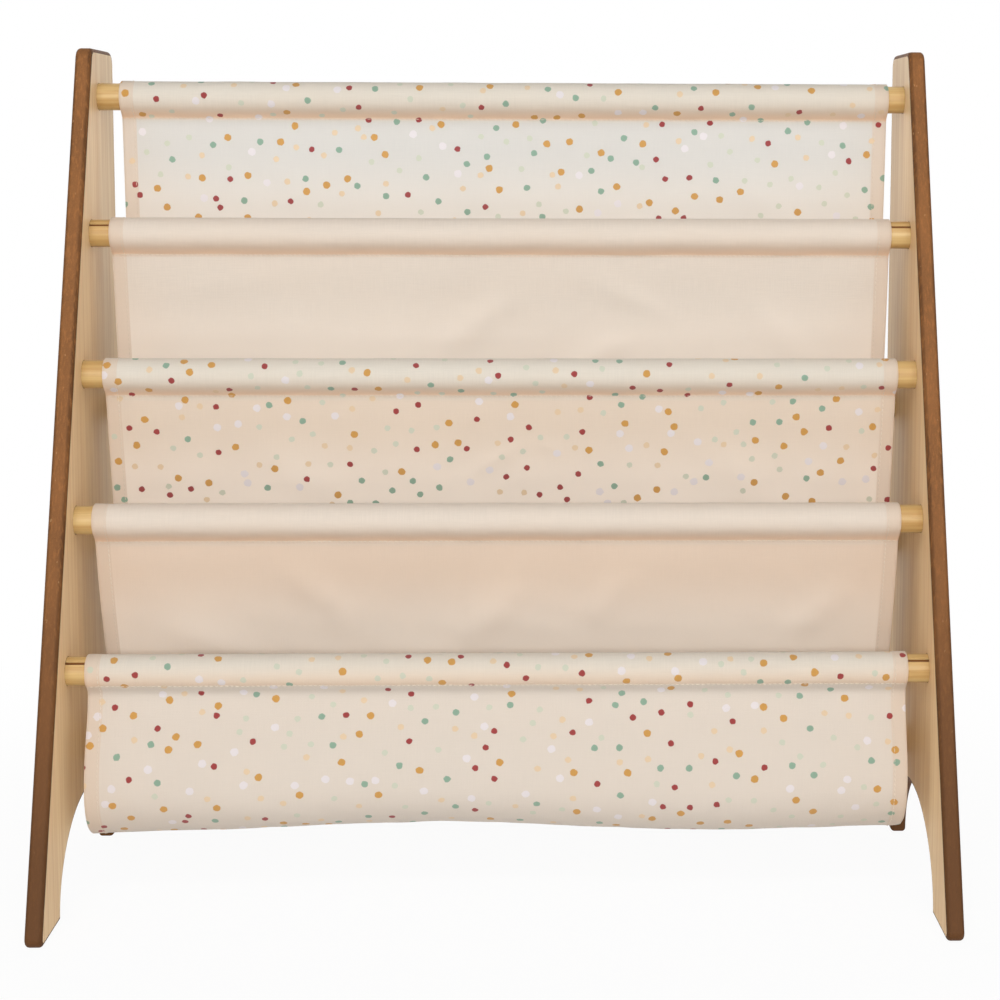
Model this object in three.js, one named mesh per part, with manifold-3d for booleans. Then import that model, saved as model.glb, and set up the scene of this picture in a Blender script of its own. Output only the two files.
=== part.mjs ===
// A child's sling bookshelf: two leaning side panels, five front rods and four pocket rods between
// them, and five pieces of cloth that zigzag from rod to rod and hang as four book pockets.
// Millimetres. +X runs to the right as one faces the shelf, +Y to the back, +Z up.
// The origin lies on the floor under the middle of the shelf.
import * as THREE from "three";
import { mergeVertices } from "three/addons/utils/BufferGeometryUtils.js";
import Module from "manifold-3d";

const wasm = await Module();
wasm.setup();

// Overall sizes.
const width = 625;
const height = 600;
const depth = 290;

// Side panels: a flat top, an upright rear edge, a front edge that leans back as it rises.
const panelThickness = 12;
const panelTopDepth = 74;
const topCornerRadius = 10;
const toeCornerRadius = 6;
const easedEdge = 3;
const footLength = 57;
const archHeight = 64;

// Front rods, one above the other along the leaning front edge.
const frontRodCount = 5;
const rodRadius = 10;
const topRodDrop = 35;
const lowestRodHeight = 165;
const rodSetback = 35;
const seatDepth = 3;
const seatClearance = 0.3;
const grooveWidth = 2.5;
const grooveDepth = 1.5;
// How far each rod's groove is turned up from its front.
const frontGrooveDegrees = [150, 42, 200, 120, 48];
const pocketGrooveDegrees = 250;

// Pocket rods, one inside the fold at the foot of each pocket's back wall.
// The upper ones step forward evenly, and the last stays above the arch.
const pocketDrop = 133;
const pocketRearMargin = 36;
const pocketRodStep = 19;
const lastPocketDrop = 77;
const lastPocketRearMargin = 105;

// Screws, driven from outside into the rods' ends, with sunk heads and hexagon sockets.
const screwRadius = 3;
const screwHeadRadius = 6;
const screwHeadHeight = 3;
const screwHeadRim = 0.5;
const screwReach = 22;
const screwTip = 1.5;
const screwClearance = 0.3;
const socketAcross = 4;
const socketDepth = 2;

// Cloth.
const clothThickness = 1.5;
const clothInset = 14.5;
const sleeveEase = 0.4;
const layerGap = 0.3;
const seamBelowRod = 5.5;
const seamBehindRod = 1.5;
const seamWidth = 3;
const hemTail = 6;
const lapLength = 10;
const wallWave = 1.2;
// How far a back wall sags, as a share of how far back it reaches from its seam.
const wallSag = 0.1;

// The lowest pocket's front hangs slack, as a belly that is higher in the middle of the shelf.
const bellyFront = 18;
const bellyDrop = 122;
const bellyDepth = 40;
const bellyRound = 38;
const bellyLift = 6;
const bellyLeavingDegrees = 34;

// One overrun serves all cuts, and points nearer than the weld distance are one point.
const cutOverrun = 1;
const weldDistance = 0.0001;

// How finely the round and waving forms are divided.
const rodSides = 20;
const seatSides = 16;
const boreSides = 10;
const outlineSteps = 8;
const easedSteps = 2;
const sleeveSteps = 13;
const foldSteps = 5;
const wallSteps = 4;
const bellySteps = 7;
const bellyFoldSteps = 2;
const bellyTopSteps = 3;
const stations = 9;

const panelMaterial = () => finish(0xd6bd98, 0.62);
const rodMaterial = () => finish(0xe3c184, 0.55);
const screwMaterial = () => finish(0xa9a9a6, 0.35, 0.9);
const plainCloth = () => finish(0xf0d9c6, 0.95);
const dottedCloth = () => finish(0xf3e2d2, 0.95);

const innerX = width / 2 - panelThickness;
const frontY = -depth / 2;
const rearY = depth / 2;
const frontLean = (depth - panelTopDepth) / height;

const pieces = new THREE.Group();

// A place in the side view.
const at = (y, z) => new THREE.Vector2(y, z);

function finish(color, roughness, metalness = 0) {
  return new THREE.MeshStandardMaterial({ color, roughness, metalness });
}

function place(name, geometry, material) {
  const mesh = new THREE.Mesh(geometry, material);
  mesh.name = name;
  pieces.add(mesh);
}

// Booleans: a closed geometry becomes a solid, and a solid becomes a geometry again.
function solidOf(geometry) {
  const bare = geometry.clone();
  bare.deleteAttribute("normal");
  bare.deleteAttribute("uv");
  const merged = mergeVertices(bare, weldDistance);
  return new wasm.Manifold(
    new wasm.Mesh({
      numProp: 3,
      vertProperties: new Float32Array(merged.attributes.position.array),
      triVerts: new Uint32Array(merged.index.array),
    }),
  );
}

function geometryOf(solid) {
  const mesh = solid.getMesh();
  const geometry = new THREE.BufferGeometry();
  geometry.setAttribute("position", new THREE.BufferAttribute(mesh.vertProperties, mesh.numProp));
  geometry.setIndex(new THREE.BufferAttribute(mesh.triVerts, 1));
  geometry.computeVertexNormals();
  return geometry;
}

// A solid of revolution about a line along X, at (y, z). Its profile goes from left to right, and
// each of its points is [x, radius].
function turned(profile, sides, y, z) {
  const points = profile.map(([x, radius]) => new THREE.Vector2(radius, x));
  const geometry = new THREE.LatheGeometry(points, sides);
  geometry.rotateZ(-Math.PI / 2);
  geometry.translate(0, y, z);
  return geometry;
}

// Rods. Each is given by the place of its middle in the side view.
function frontEdgeY(z) {
  return frontY + frontLean * z;
}

const rodPitch = (height - topRodDrop - lowestRodHeight) / (frontRodCount - 1);

const frontRods = Array.from({ length: frontRodCount }, (unused, i) => {
  const z = height - topRodDrop - rodPitch * i;
  return { y: frontEdgeY(z) + rodSetback, z };
});

const pocketRods = frontRods.slice(1).map((front, i) => {
  const last = i === frontRodCount - 2;
  const margin = last ? lastPocketRearMargin : pocketRearMargin + pocketRodStep * i;
  const drop = last ? lastPocketDrop : pocketDrop;
  return { y: rearY - margin, z: front.z - drop };
});

function rodGeometry(rod, turn) {
  const end = innerX + seatDepth - seatClearance;
  const bore = screwRadius + screwClearance;
  const boreEnd = width / 2 - screwReach - screwClearance;
  const rodSolid = solidOf(
    turned(
      [
        [-boreEnd, 0],
        [-boreEnd, bore],
        [-end, bore],
        [-end, rodRadius],
        [end, rodRadius],
        [end, bore],
        [boreEnd, bore],
        [boreEnd, 0],
      ],
      rodSides,
      0,
      0,
    ),
  );
  const groove = new THREE.BoxGeometry(
    2 * (end + cutOverrun),
    grooveDepth + cutOverrun,
    grooveWidth,
  );
  groove.translate(0, -rodRadius + (grooveDepth - cutOverrun) / 2, 0);
  groove.rotateX(-THREE.MathUtils.degToRad(turn));
  const geometry = geometryOf(rodSolid.subtract(solidOf(groove)));
  geometry.translate(0, rod.y, rod.z);
  return geometry;
}

// A side panel: its outline in the side view, extruded with eased edges, then its rod seats.
// A line to a corner that is rounded by an arc, on the way to the place after it.
function roundCorner(outline, corner, after, radius) {
  const into = corner.clone().sub(outline.currentPoint).normalize();
  const out = after.clone().sub(corner).normalize();
  const half = (Math.PI - Math.acos(into.dot(out))) / 2;
  const start = corner.clone().addScaledVector(into, -radius / Math.tan(half));
  const inward = out.clone().sub(into).normalize();
  const middle = corner.clone().addScaledVector(inward, radius / Math.sin(half));
  const from = start.clone().sub(middle).angle();
  outline.absarc(middle.x, middle.y, radius, from, from + Math.PI - 2 * half, false);
}

function panelOutline() {
  const toe = at(frontY, 0);
  const heel = at(rearY, 0);
  const topRear = at(rearY, height);
  const topFront = at(rearY - panelTopDepth, height);
  const frontFootEnd = at(frontY + footLength, 0);
  const archHalfLength = (depth - 2 * footLength) / 2;
  const outline = new THREE.Shape();
  outline.moveTo(frontFootEnd.x, 0);
  outline.absellipse(0, 0, archHalfLength, archHeight, Math.PI, 0, true);
  roundCorner(outline, heel, topRear, toeCornerRadius);
  roundCorner(outline, topRear, topFront, topCornerRadius);
  roundCorner(outline, topFront, toe, topCornerRadius);
  roundCorner(outline, toe, frontFootEnd, toeCornerRadius);
  outline.closePath();
  return outline;
}

function panelGeometry(side) {
  const board = new THREE.ExtrudeGeometry(panelOutline(), {
    depth: panelThickness - 2 * easedEdge,
    bevelEnabled: true,
    bevelThickness: easedEdge,
    bevelSize: easedEdge,
    bevelOffset: -easedEdge,
    bevelSegments: easedSteps,
    curveSegments: outlineSteps,
  });
  // The outline's x and y turn into the shelf's Y and Z, and its thickness into X.
  board.applyMatrix4(
    new THREE.Matrix4().makeBasis(
      new THREE.Vector3(0, 1, 0),
      new THREE.Vector3(0, 0, 1),
      new THREE.Vector3(1, 0, 0),
    ),
  );
  board.translate(innerX + easedEdge, 0, 0);
  let solid = solidOf(board);
  for (const rod of [...frontRods, ...pocketRods]) {
    solid = solid.subtract(solidOf(seatCutter(rod)));
    solid = solid.subtract(solidOf(screwHoleCutter(rod)));
  }
  const geometry = geometryOf(side > 0 ? solid : solid.mirror([1, 0, 0]));
  return geometry;
}

// The round seat that a rod's end stands in, cut from the panel's inner face.
function seatCutter(rod) {
  const radius = rodRadius + seatClearance;
  return turned(
    [
      [innerX - cutOverrun, 0],
      [innerX - cutOverrun, radius],
      [innerX + seatDepth, radius],
      [innerX + seatDepth, 0],
    ],
    seatSides,
    rod.y,
    rod.z,
  );
}

// The screw's hole, with a cone for its sunk head at the outer face.
function screwHoleCutter(rod) {
  const outerX = width / 2;
  const bore = screwRadius + screwClearance;
  const head = screwHeadRadius + screwClearance;
  return turned(
    [
      [innerX, 0],
      [innerX, bore],
      [outerX - screwHeadHeight - screwClearance, bore],
      [outerX - screwHeadRim - screwClearance, head],
      [outerX + cutOverrun, head],
      [outerX + cutOverrun, 0],
    ],
    boreSides,
    rod.y,
    rod.z,
  );
}

function screwGeometry(rod, side) {
  const face = width / 2 - screwClearance;
  const tip = width / 2 - screwReach;
  const body = solidOf(
    turned(
      [
        [tip, 0],
        [tip, screwRadius - screwTip],
        [tip + screwTip, screwRadius],
        [face - screwHeadHeight, screwRadius],
        [face - screwHeadRim, screwHeadRadius],
        [face, screwHeadRadius],
        [face, 0],
      ],
      boreSides,
      0,
      0,
    ),
  );
  const socket = new THREE.CylinderGeometry(
    socketAcross / Math.sqrt(3),
    socketAcross / Math.sqrt(3),
    socketDepth + cutOverrun,
    6,
  );
  socket.rotateZ(-Math.PI / 2);
  socket.translate(face + (cutOverrun - socketDepth) / 2, 0, 0);
  const screw = body.subtract(solidOf(socket));
  const geometry = geometryOf(side > 0 ? screw : screw.mirror([1, 0, 0]));
  geometry.translate(0, rod.y, rod.z);
  return geometry;
}

// Cloth. Each piece is a strip that follows a line in the side view, from one edge to the other.
const middleRadius = rodRadius + sleeveEase + clothThickness / 2;
const outerLapRadius = middleRadius + clothThickness + layerGap;
const clothHalfWidth = innerX - clothInset;

const foldBottom = -Math.PI / 2;
const bellyLeaving = THREE.MathUtils.degToRad(-bellyLeavingDegrees);

// Points on a circle round a rod, from one angle to another. Angles run from the back upward.
function arcPoints(rod, radius, from, to, steps) {
  return Array.from({ length: steps + 1 }, (unused, k) => {
    const angle = from + ((to - from) * k) / steps;
    return at(rod.y + radius * Math.cos(angle), rod.z + radius * Math.sin(angle));
  });
}

// The angle at which a straight line from a point touches a circle round a rod.
// side is 1 where the rod lies to the right of one who walks from the point, and -1 to the left.
function touchAngle(point, rod, radius, side) {
  const dy = point.x - rod.y;
  const dz = point.y - rod.z;
  const distance = Math.hypot(dy, dz);
  return Math.atan2(dz, dy) - side * Math.acos(Math.min(1, radius / distance));
}

// Points between two places, without the places themselves, bowed out to one side by a wave.
function wallPoints(from, to, steps, bow) {
  const across = at(to.y - from.y, from.x - to.x).normalize();
  return Array.from({ length: steps - 1 }, (unused, k) => {
    const share = (k + 1) / steps;
    const out = bow * Math.sin(Math.PI * share);
    return from.clone().lerp(to, share).addScaledVector(across, out);
  });
}

// The seam under a front rod, where two layers lie against each other, straight up and down.
// Its points lie so far below the stitching, in the layer behind (side 1) or before (side -1).
function seamOf(rod, setback) {
  const apart = (clothThickness + layerGap) / 2;
  const top = rod.z - rodRadius - seamBelowRod;
  return { point: (below, side) => at(rod.y + setback + side * apart, top - below) };
}

// A sleeve: up behind the rod, over it, down its front and back to the seam.
function sleevePoints(rod, seam) {
  const behind = seam.point(0, 1);
  const before = seam.point(0, -1);
  const start = touchAngle(behind, rod, middleRadius, -1);
  let end = touchAngle(before, rod, middleRadius, 1);
  while (end < start) end += 2 * Math.PI;
  return arcPoints(rod, middleRadius, start, end, sleeveSteps);
}

// How a wall bows at each place across the shelf: a broad wave that is level at the edges.
function waveAt(x, turns) {
  const share = (x + clothHalfWidth) / (2 * clothHalfWidth);
  return wallWave * Math.sin(Math.PI * share) * Math.cos(2 * Math.PI * turns * (share - 1 / 2));
}

// The back wall of a pocket, down to its rod, and the fold behind and under that rod.
function backWall(seam, pocketRod, bow, foldEnd) {
  const top = seam.point(seamWidth / 2, -1);
  const touch = touchAngle(top, pocketRod, middleRadius, 1);
  const lap = lapLength / middleRadius / 2;
  const end = foldEnd - lap;
  const fold = arcPoints(pocketRod, middleRadius, touch, end, foldSteps);
  const sag = wallSag * (fold[0].x - top.x);
  return [top, ...wallPoints(top, fold[0], wallSteps, sag + bow), ...fold];
}

// The front wall of a pocket: from under its rod, round the rod's front and up to the seam.
function frontWall(seam, pocketRod, bow, foldStart) {
  const top = seam.point(seamWidth / 2, 1);
  const touch = touchAngle(top, pocketRod, outerLapRadius, -1);
  const lap = lapLength / outerLapRadius / 2;
  const start = foldStart + lap;
  const turn = touch > start ? touch - 2 * Math.PI : touch;
  const fold = arcPoints(pocketRod, outerLapRadius, start, turn, foldSteps);
  return [...fold, ...wallPoints(fold[foldSteps], top, wallSteps, bow), top];
}

// The lowest pocket's front: from its rod down and forward, round the belly and up to the seam.
function bellyWall(seam, pocketRod, rod, lift) {
  const lap = lapLength / outerLapRadius;
  const fold = arcPoints(
    pocketRod,
    outerLapRadius,
    bellyLeaving + lap,
    bellyLeaving,
    bellyFoldSteps,
  );
  const start = fold[bellyFoldSteps];
  const bottom = at(rod.y - bellyFront + bellyDepth, rod.z - bellyDrop + lift);
  const heading = at(Math.sin(bellyLeaving), -Math.cos(bellyLeaving));
  const reach = start.distanceTo(bottom) / 2;
  const rear = new THREE.CubicBezierCurve(
    start,
    start.clone().addScaledVector(heading, reach),
    at(bottom.x + reach, bottom.y),
    bottom,
  ).getPoints(bellySteps);
  const round = bellyRound - lift;
  const front = Array.from({ length: bellySteps }, (unused, k) => {
    const angle = -Math.PI / 2 - (Math.PI / 2) * ((k + 1) / bellySteps);
    return at(
      bottom.x + bellyDepth * Math.cos(angle),
      bottom.y + round + round * Math.sin(angle),
    );
  });
  const top = seam.point(seamWidth / 2, -1);
  const above = wallPoints(front[bellySteps - 1], top, bellyTopSteps, 0);
  return [...fold, ...rear.slice(1), ...front, ...above, top];
}

// A strip of cloth along a line that may differ from place to place across the shelf.
function clothGeometry(lineAt) {
  const rings = Array.from({ length: stations }, (unused, s) => {
    const x = -clothHalfWidth + (2 * clothHalfWidth * s) / (stations - 1);
    return stripRing(lineAt(x)).map((p) => [x, p.x, p.y]);
  });
  const count = rings[0].length;
  const index = [];
  for (let s = 0; s < stations - 1; s++) {
    for (let k = 0; k < count; k++) {
      const a = s * count + k;
      const b = s * count + ((k + 1) % count);
      index.push(a, a + count, b, b, a + count, b + count);
    }
  }
  const last = (stations - 1) * count;
  for (let k = 0; k < count / 2 - 1; k++) {
    const a = k;
    const b = k + 1;
    const c = count - 2 - k;
    const d = count - 1 - k;
    index.push(a, b, d, b, c, d);
    index.push(last + a, last + d, last + b, last + b, last + d, last + c);
  }
  const geometry = new THREE.BufferGeometry();
  geometry.setAttribute("position", new THREE.Float32BufferAttribute(rings.flat(2), 3));
  geometry.setIndex(index);
  geometry.computeVertexNormals();
  return geometry;
}

// Both faces of a strip, half the cloth's thickness to each side of its line.
function stripRing(line) {
  const left = [];
  const right = [];
  line.forEach((point, k) => {
    const before = line[Math.max(k - 1, 0)];
    const after = line[Math.min(k + 1, line.length - 1)];
    const into = point.clone().sub(before).normalize();
    const out = after.clone().sub(point).normalize();
    if (k === 0) into.copy(out);
    if (k === line.length - 1) out.copy(into);
    const heading = into.clone().add(out).normalize();
    const stretch = clothThickness / 2 / heading.dot(into);
    const across = at(-heading.y, heading.x).multiplyScalar(stretch);
    left.push(point.clone().add(across));
    right.push(point.clone().sub(across));
  });
  return [...left, ...right.reverse()];
}

// The line of each piece, in order from the top of the shelf.
function pieceLine(i, x) {
  const rod = frontRods[i];
  const first = i === 0;
  const last = i === frontRodCount - 1;
  const seam = seamOf(rod, last ? 0 : seamBehindRod);
  const sleeve = sleevePoints(rod, seam);
  if (last) {
    const lift = bellyLift * Math.cos((Math.PI * x) / (2 * clothHalfWidth)) ** 2;
    const belly = bellyWall(seam, pocketRods[i - 1], rod, lift);
    const hem = [seam.point(0, 1), seam.point(hemTail, 1)];
    return [...belly, seam.point(0, -1), ...sleeve.reverse(), ...hem];
  }
  const front = first
    ? [seam.point(hemTail, 1), seam.point(0, 1)]
    : [...frontWall(seam, pocketRods[i - 1], waveAt(x, 1), foldBottom), seam.point(0, 1)];
  const foldEnd = i === frontRodCount - 2 ? bellyLeaving : foldBottom;
  const back = backWall(seam, pocketRods[i], waveAt(x, i + 1), foldEnd);
  return [...front, ...sleeve, seam.point(0, -1), ...back];
}

place("side_panel_left", panelGeometry(-1), panelMaterial());
place("side_panel_right", panelGeometry(1), panelMaterial());
frontRods.forEach((rod, i) => {
  const turn = frontGrooveDegrees[i % frontGrooveDegrees.length];
  place(`front_rod_${i + 1}`, rodGeometry(rod, turn), rodMaterial());
  place(`front_screw_left_${i + 1}`, screwGeometry(rod, -1), screwMaterial());
  place(`front_screw_right_${i + 1}`, screwGeometry(rod, 1), screwMaterial());
});
pocketRods.forEach((rod, i) => {
  place(`pocket_rod_${i + 1}`, rodGeometry(rod, pocketGrooveDegrees), rodMaterial());
  place(`pocket_screw_left_${i + 1}`, screwGeometry(rod, -1), screwMaterial());
  place(`pocket_screw_right_${i + 1}`, screwGeometry(rod, 1), screwMaterial());
});
frontRods.forEach((rod, i) => {
  const dotted = i % 2 === 0;
  const name = `sling_cloth_${i + 1}_${dotted ? "dotted" : "plain"}`;
  const cloth = clothGeometry((x) => pieceLine(i, x));
  place(name, cloth, dotted ? dottedCloth() : plainCloth());
});

// The rounded toes end a little behind the nominal front, so the shelf is centred by its real reach.
const reach = new THREE.Box3().setFromObject(pieces);
pieces.position.y = -(reach.min.y + reach.max.y) / 2;

const shelf = new THREE.Group();
shelf.add(pieces);

export default shelf;
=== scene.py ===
"""The looks of a child's sling bookshelf: two boards, nine wood rods, their screws and five sewn slings.

Every surface is a function of two parameters, worked out as whole arrays, in metres, in the part's own
frame: +X to the right, +Y to the back, +Z up, the floor at zero.

A board is its outline in the side view, carried through the thickness by a profile with round edges.
A rod or a screw is a radius round a line along X. A sling is a line in the side view, carried across the
shelf, and moved along its own normal by waves, creases and puckers that grow away from where it is held.
"""

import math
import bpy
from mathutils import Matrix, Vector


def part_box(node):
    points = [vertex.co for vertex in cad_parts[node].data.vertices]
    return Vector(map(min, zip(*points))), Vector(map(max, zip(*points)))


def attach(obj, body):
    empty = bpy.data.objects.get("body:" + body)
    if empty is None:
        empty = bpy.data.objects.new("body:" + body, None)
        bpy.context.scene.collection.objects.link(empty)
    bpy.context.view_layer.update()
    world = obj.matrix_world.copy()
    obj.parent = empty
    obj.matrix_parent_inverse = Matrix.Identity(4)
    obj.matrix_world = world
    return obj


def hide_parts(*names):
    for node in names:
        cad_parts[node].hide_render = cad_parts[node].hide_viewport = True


bl_info = {
    "name": "Sling bookshelf",
    "version": (1, 0, 0),
    "blender": (4, 5, 0),
    "location": "3D View > Sidebar > Sling bookshelf",
    "description": "Boards, rods, screws and sewn slings of a child's bookshelf, and a studio for them",
    "category": "Add Mesh",
}

import bmesh
import bpy
import numpy as np
from bpy.props import FloatProperty, FloatVectorProperty, PointerProperty
from mathutils import Matrix
from mathutils.geometry import delaunay_2d_cdt

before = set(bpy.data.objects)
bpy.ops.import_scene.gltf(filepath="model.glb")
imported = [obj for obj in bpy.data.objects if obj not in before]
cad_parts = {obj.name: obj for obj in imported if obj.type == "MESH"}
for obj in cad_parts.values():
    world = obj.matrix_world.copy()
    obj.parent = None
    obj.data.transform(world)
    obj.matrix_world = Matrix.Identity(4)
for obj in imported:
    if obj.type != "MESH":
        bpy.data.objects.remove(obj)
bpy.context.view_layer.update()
MM = 0.001


def middle_of(node):
    """The middle of a node in the side view, (y, z), from its box."""
    low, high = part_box(node)
    return (low.y + high.y) / 2, (low.z + high.z) / 2


FRONT_RODS = [middle_of(f"front_rod_{i}") for i in range(1, 6)]
POCKET_RODS = [middle_of(f"pocket_rod_{i}") for i in range(1, 5)]
BOARD_LOW, BOARD_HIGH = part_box("side_panel_right")
INNER_X = BOARD_LOW.x
OUTER_X = BOARD_HIGH.x
ROD_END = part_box("front_rod_1")[1].x
ROD_RADIUS = 10 * MM

# The side view of a board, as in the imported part.
BOARD_DEPTH = 290 * MM
TOP_DEPTH = 74 * MM
FOOT_LENGTH = 57 * MM
ARCH_HEIGHT = 64 * MM
TOP_CORNER = 10 * MM
TOE_CORNER = 6 * MM
CORNER_STEPS = 10
# How far inside the outline the flat face begins, in radii of the round edge.
FACE_INSET = 1.5
REAR_Y = BOARD_HIGH.y
FRONT_Y = REAR_Y - BOARD_DEPTH
HEIGHT = BOARD_HIGH.z

# Seats, screw holes and screws. The head is pairs of a depth under its face and a radius there. The socket
# and the thread's start are counted from that face too, and the thread's end and the point from the tip.
SEAT_RADIUS = 10.3 * MM
SEAT_DEPTH = 3 * MM
BORE_RADIUS = 3.3 * MM
HEAD_HOLE_RADIUS = 6.3 * MM
HEAD_HOLE_RIM = 0.8 * MM
HEAD_HOLE_DEPTH = 3.3 * MM
SCREW_REACH = 22 * MM
SCREW_CLEARANCE = 0.3 * MM
HEAD = np.array([[0, 5.5], [0.12, 5.85], [0.5, 6.0], [0.75, 5.8], [3.0, 3.0]]) * MM
SOCKET_DEPTH = 2.0 * MM
SOCKET_POINT = 2.3 * MM
SOCKET_EDGE = 0.25 * MM
THREAD_START = 4.5 * MM
THREAD_END = 1.5 * MM
THREAD_ROOT = 2.55 * MM
THREAD_HEIGHT = 0.5 * MM
POINT_LENGTH = 0.5 * MM
POINT_RADIUS = 1.5 * MM
# The sides that stand for a circle, and the share of its radius within which a triangle is inside it.
ROUND_SIDES = 48
INSIDE_SHARE = 0.998

# Rods: the degrees from straight ahead up to each groove, the angle to each side of it that has a fine
# mesh, in radians, the softness of its lips, and the rods' ends.
GROOVE_TURNS = (150, 42, 200, 120, 48, 250, 250, 250, 250)
GROOVE_ZONE = 0.24
GROOVE_LIP = 0.4 * MM
GROOVE_SPREAD = 0.25 * MM
ROD_CHAMFER = 0.6 * MM
ROD_END_LENGTH = 4 * MM

# Slings, numbered from 0 at the top. The visible side of the last one hangs in a belly, of the others in a
# slack wall.
LAST = 4
SLEEVE_RADIUS = 11.15 * MM
LAP_RADIUS = 12.95 * MM
LAYERS_APART = 1.8 * MM
SEAM_BELOW_ROD = 4.4 * MM
SEAM_BEHIND_ROD = 1.5 * MM
SEAM_WIDTH = 3 * MM
HEM_TAIL = 6 * MM
LAP_LENGTH = 10 * MM
WALL_SAG = 0.1
BELLY_FRONT = 18 * MM
BELLY_DROP = 122 * MM
BELLY_DEPTH = 40 * MM
BELLY_ROUND = 38 * MM
BELLY_LEAVING = math.radians(-34)
HALF_WIDTH = 285.4 * MM
# How far each sling is pushed to the right along its rod, and the belly besides.
SLIDES = np.array([2.2, 0.0, 0.7, -1.4, -0.7]) * MM
BELLY_SLIDE = -0.8 * MM
# The parts of each stretch of a sling's line, the steps in which the line is worked out and kept, and how
# far its corners are rounded.
CURVE_STEPS = 60
FINE_STEP = 0.2 * MM
LINE_STEP = 2.0 * MM
LINE_ROUNDING = 1.6 * MM
# The grid across a sling: columns in its middle, and finer ones in a band at each side.
MIDDLE_COLUMNS = 161
SIDE_COLUMNS = 8
SIDE_BAND = 12 * MM

# The side hems: the width in which the second layer begins, how far it stands out before and behind, how
# far inside the hem its stitching lies, the dent that this pulls into both sides, and how far the round
# edge stands out beyond half the cloth's thickness.
HEM_BEGINNING = 0.6 * MM
HEM_BEFORE = 0.22 * MM
HEM_BEHIND = 0.28 * MM
HEM_LINE = 1.2 * MM
DENT_WIDTH = 0.9 * MM
DENT_BEFORE = 0.22 * MM
DENT_BEHIND = 0.36 * MM
ROUND_EDGE = 0.2 * MM

# Stitches: the thread, the gap from one to the next, how far the seams' rows lie from the seams, and how
# far from the cloth's edges the rows start and end.
THREAD_RADIUS = 0.26 * MM
STITCH_GAP = 0.7 * MM
SEAM_ROW = 0.9 * MM
ROW_START = 3 * MM
ROW_END = 2 * MM

# The cloth's colours: how strongly the hem and the seam tint show, which are double cloth with painted
# shade, how far the seam's reaches inside and outside the sleeve, as painted shade on its underside, and
# where the painted light of the pockets and of the hanging walls begins and is full, below the seam. The
# weave is the length in which the crossed threads repeat.
HEM_TINTED = 0.55
SEAM_TINTED = 0.7
SEAM_INSIDE = 10.5 * MM
SEAM_OUTSIDE = 1.2 * MM
POCKET_TOP = 19 * MM
POCKET_FADE = 66 * MM
WALL_FADE = 5 * MM
WEAVE = 0.62 * MM


def linear(code):
    """A colour as the shaders want it, from the six hex digits that a screen shows."""
    parts = [((code >> shift) & 255) / 255 for shift in (16, 8, 0)]
    return tuple(c / 12.92 if c <= 0.04045 else ((c + 0.055) / 1.055) ** 2.4 for c in parts)


def shade(tone, share):
    """A colour made darker or lighter: each part times a share, and 1 at most."""
    return tuple(min(1.0, part * share) for part in tone)


def colour(name, code, description):
    """A colour that a user can change, given as a screen shows it."""
    return FloatVectorProperty(
        name=name, description=description, default=linear(code), size=3, min=0, max=1, subtype="COLOR"
    )


def length(name, size, description):
    """A length that a user can change, given in millimetres."""
    return FloatProperty(
        name=name, description=description, default=size * MM, min=0, unit="LENGTH", precision=4
    )


class BoardSettings(bpy.types.PropertyGroup):
    eased_edge: length("Eased edge", 3, "Radius of the round edges")
    veneer: colour("Veneer", 0xF7D7A8, "Pale wood of the flat faces")
    veneer_grain: colour("Veneer grain", 0xDFB584, "Darker lines of the grain")
    core: colour("Core", 0x825329, "Brown fibre board at the edges")
    # core_shade is painted shade on the round edges, and also makes the core darker towards the feet.
    core_shade: colour("Core at the round edges and the feet", 0x52300E, "Fibre board where it is darker")


class RodSettings(bpy.types.PropertyGroup):
    groove_width: length("Groove width", 2.5, "Width of the groove along a rod")
    groove_depth: length("Groove depth", 1.5, "Depth of the groove along a rod")
    wood: colour("Rod wood", 0xCCAE75, "Light wood of the rods")
    wood_grain: colour("Rod grain", 0xB48C52, "Darker grain of the rods")


class ScrewSettings(bpy.types.PropertyGroup):
    pitch: length("Thread pitch", 1.25, "From one turn of the thread to the next")
    socket: length("Socket", 4, "Width of the six-sided socket, across its flats")
    steel: colour("Steel", 0xB4B4B0, "Colour of the screws")


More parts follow.
